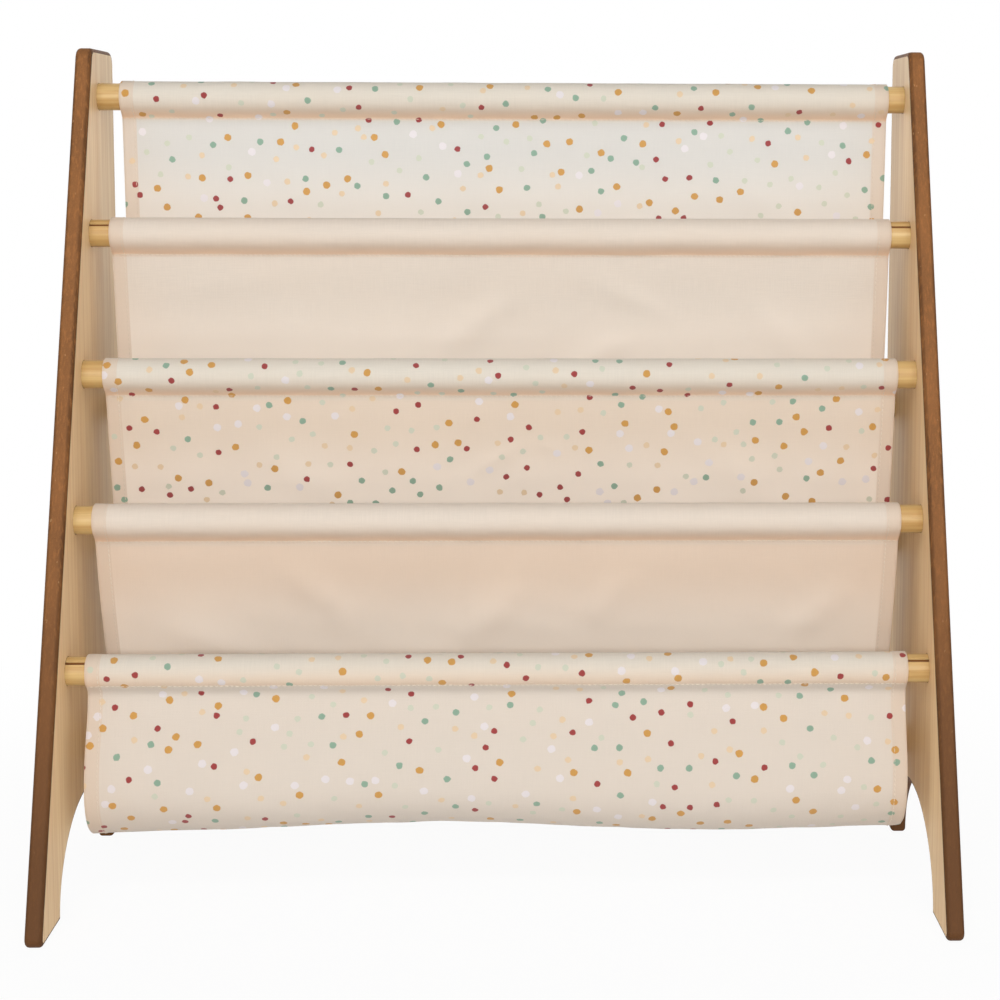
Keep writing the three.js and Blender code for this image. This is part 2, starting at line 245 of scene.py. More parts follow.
class SlingSettings(bpy.types.PropertyGroup):
    thickness: length("Cloth thickness", 1.0, "Thickness of the cloth in one layer")
    hem: length("Side hem", 9.5, "Width of the folded hem at each side")
    stitch: length("Stitch", 2.9, "Length of one stitch")
    wave: length("Wave", 1.2, "Height of the broad waves in the hanging walls")
    light_through: FloatProperty(
        name="Light through", description="Share of the light that goes into the cloth", default=0.32, min=0
    )
    dot_spacing: length("Dot spacing", 16.3, "Mean distance between the dots")
    dotted_ground: colour("Dotted ground", 0xE9E2D6, "Ground of the dotted cloth")
    plain_ground: colour("Plain ground", 0xECE1D4, "Ground of the plain cloth")
    # Painted light: lightens the cloth low in the pockets, where shade falls.
    pocket_painted_light: colour("Pocket tint", 0xFFF5E9, "Cloth low in the pockets, where it is lighter")
    # Painted light: the warm light bounced between the cloth of the lower pockets.
    warm_painted_light: colour("Warm tint", 0xF0D6BC, "What the walls of the lower pockets lean to")
    # Painted light: the cool light that comes through the top wall from behind.
    cool_painted_light: colour("Cool tint", 0xD6D8DA, "What the top wall leans to")
    # Double cloth at the seams, and painted shade where it spreads over the sleeve's underside.
    seam_double_and_painted_shade: colour("Seam tint", 0xFAD5B0, "Cloth where it lies double at the seams")
    # Double cloth at the side hems, darkened as painted shade where less light comes through it.
    hem_double_and_painted_shade: colour("Hem tint", 0xE2CEB9, "Cloth where it lies double at the side hems")
    thread: colour("Thread", 0xE9DCCB, "Sewing thread")
    mustard: colour("Mustard dots", 0xD59E42, "The largest dots")
    burgundy: colour("Burgundy dots", 0xA01620, "The darkest dots")
    sage: colour("Sage dots", 0x8CB09A, "Grey green dots")
    mint: colour("Mint dots", 0xD5D9C6, "Pale green dots")
    peach: colour("Peach dots", 0xEAD2AF, "Pale orange dots")
    lilac: colour("Lilac dots", 0xEDE7E9, "Nearly white dots")


class StageSettings(bpy.types.PropertyGroup):
    camera_place: FloatVectorProperty(
        name="Camera place",
        description="Where the camera stands",
        default=(0.03257, -1.47483, 0.52752),
        size=3,
        subtype="TRANSLATION",
        unit="LENGTH",
    )
    camera_turn: FloatVectorProperty(
        name="Camera turn",
        description="Turn to the left, tilt upwards and roll",
        default=(-0.0292, -0.1061, 0.0035),
        size=3,
        unit="ROTATION",
    )
    lens: FloatProperty(name="Lens", description="Focal length in millimetres", default=74.645, min=1)
    shift: FloatVectorProperty(
        name="Shift", description="Shift of the picture", default=(-0.1069, -0.13), size=2
    )
    sky: FloatProperty(name="Sky", description="Strength of the light from all round", default=0.27, min=0)
    key: FloatProperty(name="Key", description="Power of the lamp in front", default=54.0, min=0)
    floor: colour("Floor", 0xF4F4F4, "Colour of the floor")


# Meshes.


def add_piece(name, points, faces, materials, sharp, kinds=None, maps=None):
    """A piece at the origin from an array of points and arrays of faces, closed and facing outwards.

    Points nearer than a micrometre become one, which also closes poles. Edges that turn by more than
    sharp degrees stay sharp. kinds is a material number for each face, and maps holds a pair for each
    point under each map's name.
    """
    rows = [row for array in faces for row in array.tolist()]
    mesh = bpy.data.meshes.new(name)
    mesh.from_pydata(points.tolist(), [], rows)
    corners = np.zeros(len(mesh.loops), np.int32)
    mesh.loops.foreach_get("vertex_index", corners)
    for key, pairs in (maps or {}).items():
        layer = mesh.uv_layers.new(name=key)
        layer.data.foreach_set("uv", pairs[corners].astype(np.float32).ravel())
    for material in materials:
        mesh.materials.append(material)
    if kinds is not None:
        mesh.polygons.foreach_set("material_index", np.asarray(kinds, np.int32))
    work = bmesh.new()
    work.from_mesh(mesh)
    bmesh.ops.remove_doubles(work, verts=work.verts, dist=1e-6)
    bmesh.ops.recalc_face_normals(work, faces=work.faces)
    work.to_mesh(mesh)
    work.free()
    mesh.shade_smooth()
    mesh.set_sharp_from_angle(angle=math.radians(sharp))
    piece = bpy.data.objects.new(name, mesh)
    bpy.context.scene.collection.objects.link(piece)
    return piece


def grid_faces(rows, columns, closed=False, start=0):
    """The quads of a grid of points, row by row, closed round its columns or open."""
    number = np.arange(rows * columns).reshape(rows, columns) + start
    if closed:
        number = np.concatenate([number, number[:, :1]], 1)
    return np.stack(
        [number[:-1, :-1], number[:-1, 1:], number[1:, 1:], number[1:, :-1]], -1
    ).reshape(-1, 4)


def hold(piece, nodes):
    """The piece rides on the shelf and stands for its nodes, which are hidden."""
    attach(piece, "root")
    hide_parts(*nodes)


# Materials.


class Nodes:
    """Short ways to add nodes to a tree. An input given as a socket is linked, any other is set."""

    def __init__(self, tree):
        self.tree = tree

    def set(self, node, inputs):
        for key, value in inputs.items():
            socket = node.inputs[key]
            if isinstance(value, bpy.types.NodeSocket):
                self.tree.links.new(value, socket)
            elif hasattr(value, "__len__") and socket.type == "RGBA":
                socket.default_value = (*value[:3], 1)
            else:
                socket.default_value = value

    def add(self, kind, inputs=None, **fields):
        node = self.tree.nodes.new("ShaderNode" + kind)
        for key, value in fields.items():
            setattr(node, key, value)
        self.set(node, inputs or {})
        return node

    def place(self):
        return self.add("TexCoord").outputs["Object"]

    def parts(self, vector):
        return self.add("SeparateXYZ", {0: vector}).outputs

    def math(self, operation, a, b=0.0, clamp=False):
        return self.add("Math", {0: a, 1: b}, operation=operation, use_clamp=clamp).outputs[0]

    def step(self, value, low, high, bottom=0.0, top=1.0):
        inputs = {"Value": value, "From Min": low, "From Max": high, "To Min": bottom, "To Max": top}
        return self.add("MapRange", inputs, interpolation_type="SMOOTHSTEP").outputs[0]

    def seen(self):
        """1 for a ray of the camera, a mirror or a clear thing, 0 for the light that falls on things."""
        path = self.add("LightPath").outputs
        direct = self.math("ADD", path["Is Camera Ray"], path["Is Glossy Ray"], clamp=True)
        return self.math("ADD", direct, path["Is Transmission Ray"], clamp=True)


class Shader(Nodes):
    """A material of one surface, and patterns for it, in metres."""

    def __init__(self, name, roughness, **fixed):
        self.material = bpy.data.materials.new(name)
        self.material.use_nodes = True
        super().__init__(self.material.node_tree)
        self.surface = self.tree.nodes["Principled BSDF"]
        self.set(self.surface, {"Roughness": roughness, **fixed})

    def map(self, name):
        return self.add("UVMap", uv_map=name).outputs[0]

    def stretched(self, place, scale, offset=(0, 0, 0)):
        return self.add("Mapping", {"Vector": place, "Scale": scale, "Location": offset}).outputs[0]

    def noise(self, place, scale, detail=3, rough=0.5, warp=0):
        inputs = {"Vector": place, "Scale": scale, "Detail": detail, "Roughness": rough, "Distortion": warp}
        return self.add("TexNoise", inputs).outputs["Fac"]

    def mix(self, share, a, b):
        return self.add("Mix", {0: share, 6: a, 7: b}, data_type="RGBA").outputs[2]

    def bands(self, value, stops):
        """One colour, or one grey, from each stop up to the next."""
        node = self.add("ValToRGB", {"Fac": value})
        band = node.color_ramp
        band.interpolation = "CONSTANT"
        while len(band.elements) < len(stops):
            band.elements.new(0.5)
        for element, (where, tone) in zip(band.elements, stops):
            element.position = where
            element.color = (*tone[:3], 1) if hasattr(tone, "__len__") else (tone, tone, tone, 1)
        return node.outputs["Color"]

    def finish(self, tone, height, depth, roughness=None):
        """The material, with its colour, its fine relief and, where it varies, its roughness."""
        bump = self.add("Bump", {"Height": height, "Distance": depth, "Strength": 1.0})
        inputs = {"Base Color": tone, "Normal": bump.outputs[0]}
        if roughness is not None:
            inputs["Roughness"] = roughness
        self.set(self.surface, inputs)
        return self.material


def veneer_material(settings):
    """Pale wood with its grain upright: fine streaks, broad bands and short pores."""
    m = Shader("board_veneer", 0.55, **{"Specular IOR Level": 0.35})
    place = m.place()
    streaks = m.noise(m.stretched(place, (1, 320, 5)), 1, 5, 0.6, 0.4)
    bands = m.noise(m.stretched(place, (1, 34, 1.3), (3, 1, 2)), 1, 3, 0.5, 0.8)
    pores = m.noise(m.stretched(place, (1, 900, 26)), 1, 2, 0.5)
    share = m.math("MULTIPLY", m.step(streaks, 0.35, 0.7), 0.55)
    both = m.math("ADD", share, m.math("MULTIPLY", m.step(bands, 0.4, 0.7), 0.35), clamp=True)
    tone = m.mix(both, settings.veneer, settings.veneer_grain)
    tone = m.mix(m.step(pores, 0.66, 0.78, 0, 0.3), tone, shade(settings.veneer_grain, 0.62))
    height = m.math("ADD", m.math("MULTIPLY", streaks, 0.6), m.math("MULTIPLY", pores, 0.4))
    return m.finish(tone, height, 0.12 * MM, m.step(streaks, 0.2, 0.8, 0.5, 0.62))


def core_material(settings):
    """Brown fibre board: fine speckle, pale fibres, painted shade where edges turn round, and darker
    towards the feet.
    """
    m = Shader("board_core", 0.7, **{"Specular IOR Level": 0.3})
    place = m.place()
    x, _, up = m.parts(place)
    across = m.math("ABSOLUTE", x)
    edge = settings.eased_edge
    # Painted shade on the round edges of both faces.
    inner = m.step(across, INNER_X + 0.5 * edge, INNER_X + 1.15 * edge, 1, 0)
    outer = m.step(across, OUTER_X - 1.0 * edge, OUTER_X - 0.3 * edge)
    rounded = m.math("ADD", inner, outer, clamp=True)
    speckle = m.noise(place, 1400, 4, 0.7)
    cloud = m.noise(m.stretched(place, (30, 30, 12)), 1, 3)
    fibres = m.noise(m.stretched(place, (500, 420, 260), (5, 2, 1)), 1, 1, 0.4)
    streaks = m.noise(m.stretched(place, (700, 500, 45), (4, 1, 3)), 1, 3, 0.6)
    tone = m.mix(rounded, settings.core, settings.core_shade)
    tone = m.mix(m.step(speckle, 0.3, 0.7, 0.6, 0), tone, shade(settings.core, 0.5))
    tone = m.mix(m.step(streaks, 0.45, 0.75, 0, 0.5), tone, shade(settings.core, 1.7))
    tone = m.mix(m.step(cloud, 0.35, 0.75, 0, 0.4), tone, shade(settings.core, 1.45))
    tone = m.mix(m.step(fibres, 0.74, 0.8, 0, 0.4), tone, linear(0xC79E6C))
    # Darker towards the feet.
    tone = m.mix(m.step(up, 20 * MM, 340 * MM, 0.85, 0), tone, settings.core_shade)
    return m.finish(tone, speckle, 0.15 * MM)


def rod_material(settings):
    """Light turned wood with its grain along the rod, a few short dark pores and a soft gloss."""
    m = Shader("rod_wood", 0.42, **{"Specular IOR Level": 0.45})
    place = m.place()
    grain = m.noise(m.stretched(place, (9, 420, 420)), 1, 5, 0.6, 0.3)
    rings = m.noise(m.stretched(place, (1.6, 110, 110), (1, 4, 2)), 1, 2, 0.5, 0.5)
    pores = m.noise(m.stretched(place, (160, 1300, 1300)), 1, 1, 0.4)
    share = m.math("ADD", m.math("MULTIPLY", grain, 0.6), m.math("MULTIPLY", rings, 0.5))
    tone = m.mix(m.step(share, 0.38, 0.74), settings.wood, settings.wood_grain)
    tone = m.mix(m.step(pores, 0.72, 0.8, 0, 0.5), tone, linear(0x9B6B37))
    return m.finish(tone, grain, 0.12 * MM, m.step(grain, 0.3, 0.8, 0.38, 0.5))


def steel_material(settings):
    """Zinc plated steel, a little cloudy."""
    m = Shader("screw_steel", 0.34, Metallic=1.0)
    place = m.place()
    cloud = m.noise(place, 700, 4, 0.6)
    tone = m.mix(cloud, settings.steel, shade(settings.steel, 0.7))
    return m.finish(tone, m.noise(place, 5000, 2), 0.02 * MM, m.step(cloud, 0.2, 0.8, 0.28, 0.45))


def shaded_recess_material(name, dark, light):
    """Painted shade inside a recess, such as a hole or a groove: speckled between two dark colours."""
    m = Shader(name, 0.9)
    speckle = m.noise(m.place(), 1600, 3, 0.6)
    return m.finish(m.mix(speckle, linear(dark), linear(light)), speckle, 0.2 * MM)


def thread_material(settings):
    """Sewing thread, finely mottled by its plies."""
    m = Shader("sewing_thread", 0.8, **{"Sheen Weight": 0.2})
    plies = m.noise(m.stretched(m.place(), (2200, 2200, 2200)), 1, 2)
    return m.finish(m.mix(plies, settings.thread, shade(settings.thread, 0.86)), plies, 0.04 * MM)


# The dots: colour, share of all dots, and radius in millimetres.
DOTS = (
    ("mustard", 0.19, 2.7),
    ("burgundy", 0.15, 2.25),
    ("sage", 0.16, 2.4),
    ("mint", 0.17, 2.2),
    ("peach", 0.18, 2.25),
    ("lilac", 0.15, 2.85),
)


# How ragged the dots' outlines are, and how regular their grid is and how far it is turned, in radians.
DOT_RAGGED = 1.2 * MM
DOT_SCATTER = 0.76
DOT_TURN = 0.46
# How much of a dot's colour shows on the good side and through on the reverse.
PRINT_GOOD = 0.94
PRINT_REVERSE = 0.3


def dotted_tone(m, place, tone, settings, printed):
    """Scattered round dots on a ground: the nearest-point cells of a jittered grid.

    A cell's own random number picks its colour, and that colour its radius. Fine noise makes the outline
    a little ragged.
    """
    spacing = settings.dot_spacing
    ragged = m.add("TexNoise", {"Vector": place, "Scale": 420.0, "Detail": 1.0}).outputs["Color"]
    shaken = m.add("VectorMath", {0: ragged, 1: (0.5, 0.5, 0.5)}, operation="SUBTRACT").outputs[0]
    shaken = m.add("VectorMath", {0: shaken, "Scale": DOT_RAGGED}, operation="SCALE").outputs[0]
    moved = m.add("VectorMath", {0: place, 1: shaken}, operation="ADD").outputs[0]
    moved = m.add("Mapping", {"Vector": moved, "Rotation": (0, 0, DOT_TURN)}).outputs[0]
    inputs = {"Vector": moved, "Scale": 1 / spacing, "Randomness": DOT_SCATTER}
    cells = m.add("TexVoronoi", inputs, voronoi_dimensions="2D", feature="F1")
    chance = m.add("SeparateColor", {0: cells.outputs["Color"]}).outputs[0]
    starts = np.concatenate([[0], np.cumsum([share for _, share, _ in DOTS])[:-1]]).tolist()
    tones = [(start, getattr(settings, key)) for start, (key, _, _) in zip(starts, DOTS)]
    sizes = [(start, radius * MM / spacing) for start, (_, _, radius) in zip(starts, DOTS)]
    inside = m.math("SUBTRACT", m.bands(chance, sizes), cells.outputs["Distance"])
    return m.mix(m.step(inside, -0.010, 0.014, 0, printed), tone, m.bands(chance, tones))


def cloth_material(name, settings, ground, dotted, reverse):
    """Cotton canvas that lets light through: crossed threads with slubs, tints and, where dotted, dots.

    It reads the sling's own maps. The sewn map counts metres across and along the cloth. The others say
    how much a place takes the painted warm and cool light, the painted pocket light and the seam tint,
    which is double cloth with painted shade.
    """
    m = Shader(name, 0.88, **{"Sheen Weight": 0.25, "Sheen Roughness": 0.6, "Specular IOR Level": 0.2})
    place = m.map("sewn")
    across, along, _ = m.parts(place)
    thread = 2 * math.pi / WEAVE
    weft = m.math("SINE", m.math("MULTIPLY", across, thread))
    warp = m.math("SINE", m.math("MULTIPLY", along, thread))
    weave = m.math("MULTIPLY", weft, warp)
    slubs_across = m.noise(m.stretched(place, (55, 1500, 1)), 1, 2, 0.6)
    slubs_along = m.noise(m.stretched(place, (1500, 55, 1), (7, 3, 0)), 1, 2, 0.6)
    slubs = m.math("ADD", slubs_across, slubs_along)
    cloud = m.noise(m.stretched(place, (9, 14, 1), (2, 5, 0)), 1, 3, 0.5)
    clouded = tuple(part * share for part, share in zip(ground, (0.99, 0.965, 0.94)))
    tone = m.mix(m.step(slubs, 0.7, 1.3, 0.0, 0.5), ground, shade(ground, 0.9))
    tone = m.mix(m.step(cloud, 0.35, 0.7, 0, 0.35), tone, clouded)
    fold = HALF_WIDTH - settings.hem
    hem = m.step(m.math("ABSOLUTE", across), fold - HEM_BEGINNING, fold)
    double, pocket, _ = m.parts(m.map("double"))
    warm, cool, _ = m.parts(m.map("wall"))
    # Painted light and shade: warm bounce light and cool light through the cloth on the walls, light low in
    # the pockets, and shade where the cloth lies double at hems and seams.
    for share, tint in (
        (warm, settings.warm_painted_light),
        (cool, settings.cool_painted_light),
        (pocket, settings.pocket_painted_light),
        (m.math("MULTIPLY", hem, HEM_TINTED), settings.hem_double_and_painted_shade),
        (m.math("MULTIPLY", double, SEAM_TINTED), settings.seam_double_and_painted_shade),
    ):
        tone = m.mix(share, tone, tint)
    if dotted:
        tone = dotted_tone(m, place, tone, settings, PRINT_REVERSE if reverse else PRINT_GOOD)
    m.finish(tone, m.math("ADD", m.math("MULTIPLY", weave, 0.25), slubs), 0.06 * MM)
    through = m.add("BsdfTranslucent", {"Color": m.mix(0.2, tone, (1, 1, 1))})
    both = m.add("MixShader", {0: settings.light_through, 1: m.surface.outputs[0], 2: through.outputs[0]})
    m.set(m.tree.nodes["Material Output"], {"Surface": both.outputs[0]})
    return m.material


# Boards.


def corner(before, at, after, radius):
    """An arc that rounds a corner.

    Its centre lies on the bisector, as far off as the radius over the sine of half the angle.
    """
    before, at, after = (np.array(p, float) for p in (before, at, after))
    into = (at - before) / np.linalg.norm(at - before)
    out = (after - at) / np.linalg.norm(after - at)
    half = (math.pi - math.acos(into @ out)) / 2
    inward = (out - into) / np.linalg.norm(out - into)
    centre = at + inward * radius / math.sin(half)
    start = at - into * radius / math.tan(half) - centre
    first = math.atan2(start[1], start[0])
    angle = np.linspace(first, first + math.pi - 2 * half, CORNER_STEPS + 1)
    return centre + radius * np.stack([np.cos(angle), np.sin(angle)], 1)


def board_outline():
    """The outline in the side view, counterclockwise: arch, heel, top corners and toe."""
    toe, heel = (FRONT_Y, 0), (REAR_Y, 0)
    top_rear, top_front = (REAR_Y, HEIGHT), (REAR_Y - TOP_DEPTH, HEIGHT)
    half = (BOARD_DEPTH - 2 * FOOT_LENGTH) / 2
    angle = np.linspace(math.pi, 0, 65)
    middle = FRONT_Y + FOOT_LENGTH + half
    arch = np.stack([middle + half * np.cos(angle), ARCH_HEIGHT * np.sin(angle)], 1)
    return np.concatenate(
        [
            arch,
            corner(arch[-1], heel, top_rear, TOE_CORNER),
            corner(heel, top_rear, top_front, TOP_CORNER),
            corner(top_rear, top_front, toe, TOP_CORNER),
            corner(top_front, toe, arch[0], TOE_CORNER),
        ]
    )


def inset(outline, distances):
    """The outline moved inwards by each distance, along the bisector of the sides at each point."""
    side = np.roll(outline, -1, 0) - outline
    side /= np.linalg.norm(side, axis=1, keepdims=True)
    normal = np.stack([side[:, 1], -side[:, 0]], 1)
    last = np.roll(normal, 1, 0)
    mitre = (normal + last) / (1 + (normal * last).sum(1, keepdims=True))
    return outline[None] - distances[:, None, None] * mitre[None]


def flat_face(loops, x):
    """A flat face at x between an outline and its round holes, as a constrained Delaunay mesh.

    The mesh fills the holes too, so a triangle whose middle is nearer to a hole's middle than its rim
    is left out.
    """
    points, edges = [], []
    for loop in loops:
        first, count = len(points), len(loop)
        points += (loop / MM).tolist()
        edges += [(first + k, first + (k + 1) % count) for k in range(count)]
    found, _, faces, *_ = delaunay_2d_cdt(points, edges, [], 2, 1e-5)
    flat, faces = np.array([tuple(p) for p in found], float) * MM, np.array(faces)
    holes = np.array([loop.mean(0) for loop in loops[1:]])
    rim = np.linalg.norm(loops[1][0] - holes[0])
    away = np.linalg.norm(flat[faces].mean(1)[:, None] - holes[None], axis=2).min(1)
    faces = faces[away > INSIDE_SHARE * rim]
    return np.concatenate([np.full((len(flat), 1), x), flat], 1), faces


def circle(middle, radius):
    """A circle in the side view: the radius times the cosine and sine of even steps of the turn."""
    angle = np.arange(ROUND_SIDES) * 2 * math.pi / ROUND_SIDES
    return np.stack([middle[0] + radius * np.cos(angle), middle[1] + radius * np.sin(angle)], 1)


def board_piece(name, side, settings):
    """One board: the outline carried through a profile of two quarter circles, with nine stepped holes.

    At the angle a of a quarter circle the outline lies inset by edge times (1 - sin a), at a depth of
    edge times (1 - cos a) under the face.
    """
    edge = settings.eased_edge
    angle = np.linspace(0, math.pi / 2, 8)
    insets = np.concatenate([[edge * FACE_INSET], edge * (1 - np.sin(angle))])
    depths = np.concatenate([[0], edge * (1 - np.cos(angle))])
    insets = np.concatenate([insets, insets[::-1]])
    xs = np.concatenate([INNER_X + depths, (OUTER_X - depths)[::-1]])
    rings = inset(board_outline(), insets)
    rows, columns = rings.shape[:2]
    points = [np.concatenate([np.repeat(xs, columns)[:, None], rings.reshape(-1, 2)], 1)]
    faces = [grid_faces(rows, columns, closed=True)]
    ring = np.arange(rows - 1).repeat(columns)
    kinds = [np.where((ring == 0) | (ring == rows - 2), 0, 1)]
    holes = FRONT_RODS + POCKET_RODS
    for x, radius, loop in ((INNER_X, SEAT_RADIUS, rings[0]), (OUTER_X, HEAD_HOLE_RADIUS, rings[-1])):
        flat, triangles = flat_face([loop] + [circle(hole, radius) for hole in holes], x)
        faces.append(triangles + sum(len(p) for p in points))
        points.append(flat)
        kinds.append(np.zeros(len(triangles)))
    steps = np.array(
        [
            [INNER_X, SEAT_RADIUS],
            [INNER_X + SEAT_DEPTH, SEAT_RADIUS],
            [INNER_X + SEAT_DEPTH, BORE_RADIUS],
            [OUTER_X - HEAD_HOLE_DEPTH, BORE_RADIUS],
            [OUTER_X - HEAD_HOLE_RIM, HEAD_HOLE_RADIUS],
            [OUTER_X, HEAD_HOLE_RADIUS],
        ]
    )
    for hole in holes:
        circles = np.concatenate([circle(hole, radius) for radius in steps[:, 1]])
        faces.append(grid_faces(len(steps), ROUND_SIDES, closed=True, start=sum(len(p) for p in points)))
        points.append(np.concatenate([np.repeat(steps[:, :1], ROUND_SIDES, 0), circles], 1))
        # The walls of the holes take the painted shade.
        kinds.append(np.full(len(faces[-1]), 2))
    points = np.concatenate(points)
    points[:, 0] *= side
    materials = [
        veneer_material(settings),
        core_material(settings),
        # Painted shade inside the holes.
        shaded_recess_material("board_bore_shade", 0x6B4527, 0x8A5D36),
    ]
    piece = add_piece(name, points, faces, materials, 40, np.concatenate(kinds))
    weights = piece.modifiers.new("even_shading", "WEIGHTED_NORMAL")
    weights.keep_sharp = True
    return piece


# Rods and screws.


def turned(x, middle, radius, angle):
    """Points at a radius and an angle, counted from the back upwards, round a line along X."""
    y, z = middle[0] + radius * np.cos(angle), middle[1] + radius * np.sin(angle)
    return np.stack([np.broadcast_to(x, y.shape), y, z], -1).reshape(-1, 3)


def rod_piece(name, middle, turn, settings, materials):
    """A rod: a radius round a line along X, less a groove whose depth fades at its lips.

    The rows go from the bottom of one screw bore over the rod's end, along the rod and into the other
    bore. Only the outer rows have the groove.
    """
    bore_end = OUTER_X - SCREW_REACH - SCREW_CLEARANCE
    groove = math.pi - math.radians(turn)
    fine = np.linspace(-GROOVE_ZONE, GROOVE_ZONE, 25)
    coarse = np.linspace(GROOVE_ZONE, 2 * math.pi - GROOVE_ZONE, 90)[1:-1]
    angle = np.concatenate([fine, coarse]) + groove
    off = np.abs((angle - groove + math.pi) % (2 * math.pi) - math.pi) * ROD_RADIUS
    share = np.clip((settings.groove_width / 2 + GROOVE_SPREAD - off) / GROOVE_LIP, 0, 1)
    dip = settings.groove_depth * share * share * (3 - 2 * share)
    bore = [[bore_end, 0, 0], [bore_end, BORE_RADIUS, 0], [ROD_END, BORE_RADIUS, 0]]
    outer = [[ROD_END, ROD_RADIUS - ROD_CHAMFER, 1], [ROD_END - ROD_CHAMFER, ROD_RADIUS, 1]]
    along = [[x, ROD_RADIUS, 1] for x in np.linspace(ROD_END - ROD_END_LENGTH, 0, 12)]
    right = np.array(bore + outer + along)
    left = right[-2::-1] * np.array([-1, 1, 1])
    rows = np.concatenate([right, left])
    radius = rows[:, 1:2] - rows[:, 2:3] * dip[None]
    # Faces deep in the groove take the painted shade.
    deep = dip > settings.groove_depth / 2
    kinds = (rows[:-1, 2:] * rows[1:, 2:] * (deep & np.roll(deep, -1))).ravel()
    faces = [grid_faces(len(rows), len(angle), closed=True)]
    return add_piece(name, turned(rows[:, :1], middle, radius, angle), faces, materials, 35, kinds)


def screw_piece(name, middle, side, settings, material):
    """A sunk-head screw: a six-sided socket, a round rim, a cone and a thread.

    The socket's radius at an angle is half its width over the cosine of the angle to its nearest flat.
    The thread's radius grows with a triangle wave of the place along it plus a turn's share of the pitch.
    """
    face = OUTER_X - SCREW_CLEARANCE
    tip = OUTER_X - SCREW_REACH
    angle = np.arange(ROUND_SIDES) * 2 * math.pi / ROUND_SIDES
    flat = settings.socket / 2 / np.cos((angle + math.pi / 6) % (math.pi / 3) - math.pi / 6)
    even = np.ones(ROUND_SIDES)
    socket = [
        (face - SOCKET_POINT, 0 * even),
        (face - SOCKET_DEPTH, flat),
        (face - SOCKET_EDGE, flat),
        (face, flat + SOCKET_EDGE),
    ]
    head = socket + [(face - depth, radius * even) for depth, radius in HEAD]
    along = np.arange(face - THREAD_START, tip + THREAD_END, -settings.pitch / 4)
    phase = (along[:, None] / settings.pitch + angle[None] / (2 * math.pi)) % 1
    ridge = THREAD_ROOT + THREAD_HEIGHT * (1 - np.abs(2 * phase - 1))
    point = [(tip + POINT_LENGTH, POINT_RADIUS * even), (tip, 0 * even)]
    xs = np.concatenate([[x for x, _ in head], along, [x for x, _ in point]])
    radius = np.concatenate([[r for _, r in head], ridge, [r for _, r in point]])
    faces = [grid_faces(len(xs), ROUND_SIDES, closed=True)]
    return add_piece(name, turned(side * xs[:, None], middle, radius, angle), faces, [material], 32)


# The slings' lines in the side view.


def arc(rod, radius, start, end, steps=40):
    """Points on a circle round a rod, from one angle to another, counted from the back upwards."""
    angle = np.linspace(start, end, steps + 1)
    return np.stack([rod[0] + radius * np.cos(angle), rod[1] + radius * np.sin(angle)], 1)


def touch(point, rod, radius, side):
    """The angle at which a straight line from a point touches a circle round a rod."""
    dy, dz = point[0] - rod[0], point[1] - rod[1]
    return math.atan2(dz, dy) - side * math.acos(min(1, radius / math.hypot(dy, dz)))


def straight(start, end, steps=CURVE_STEPS):
    """A straight line: the start weighted by one minus the share of the way, and the end by the share."""
    share = np.linspace(0, 1, steps + 1)[:, None]
    return np.asarray(start) * (1 - share) + np.asarray(end) * share


def hanging(start, end, share):
    """A slack wall: the straight line, pushed out below it by the sine of half a turn.

    The push is a share of how far back the wall reaches.
    """
    run = np.subtract(end, start)
    across = np.array([run[1], -run[0]]) / np.linalg.norm(run)
    sag = np.sin(math.pi * np.linspace(0, 1, CURVE_STEPS + 1))[:, None]
    return straight(start, end) + across * share * run[0] * sag


def bezier(a, b, c, d):
    """A cubic curve: its four points weighted by the cubic terms of one minus t and t."""
    t = np.linspace(0, 1, CURVE_STEPS + 1)[:, None]
    a, b, c, d = (np.asarray(p, float) for p in (a, b, c, d))
    return a * (1 - t) ** 3 + 3 * b * t * (1 - t) ** 2 + 3 * c * t * t * (1 - t) + d * t**3


def seam_point(number, below, layer):
    """A point of the seam under a front rod, below its top, in the layer behind (1) or before (-1)."""
    rod = FRONT_RODS[number]
    setback = 0 if number == LAST else SEAM_BEHIND_ROD
    top = rod[1] - ROD_RADIUS - SEAM_BELOW_ROD
    return rod[0] + setback + layer * LAYERS_APART / 2, top - below


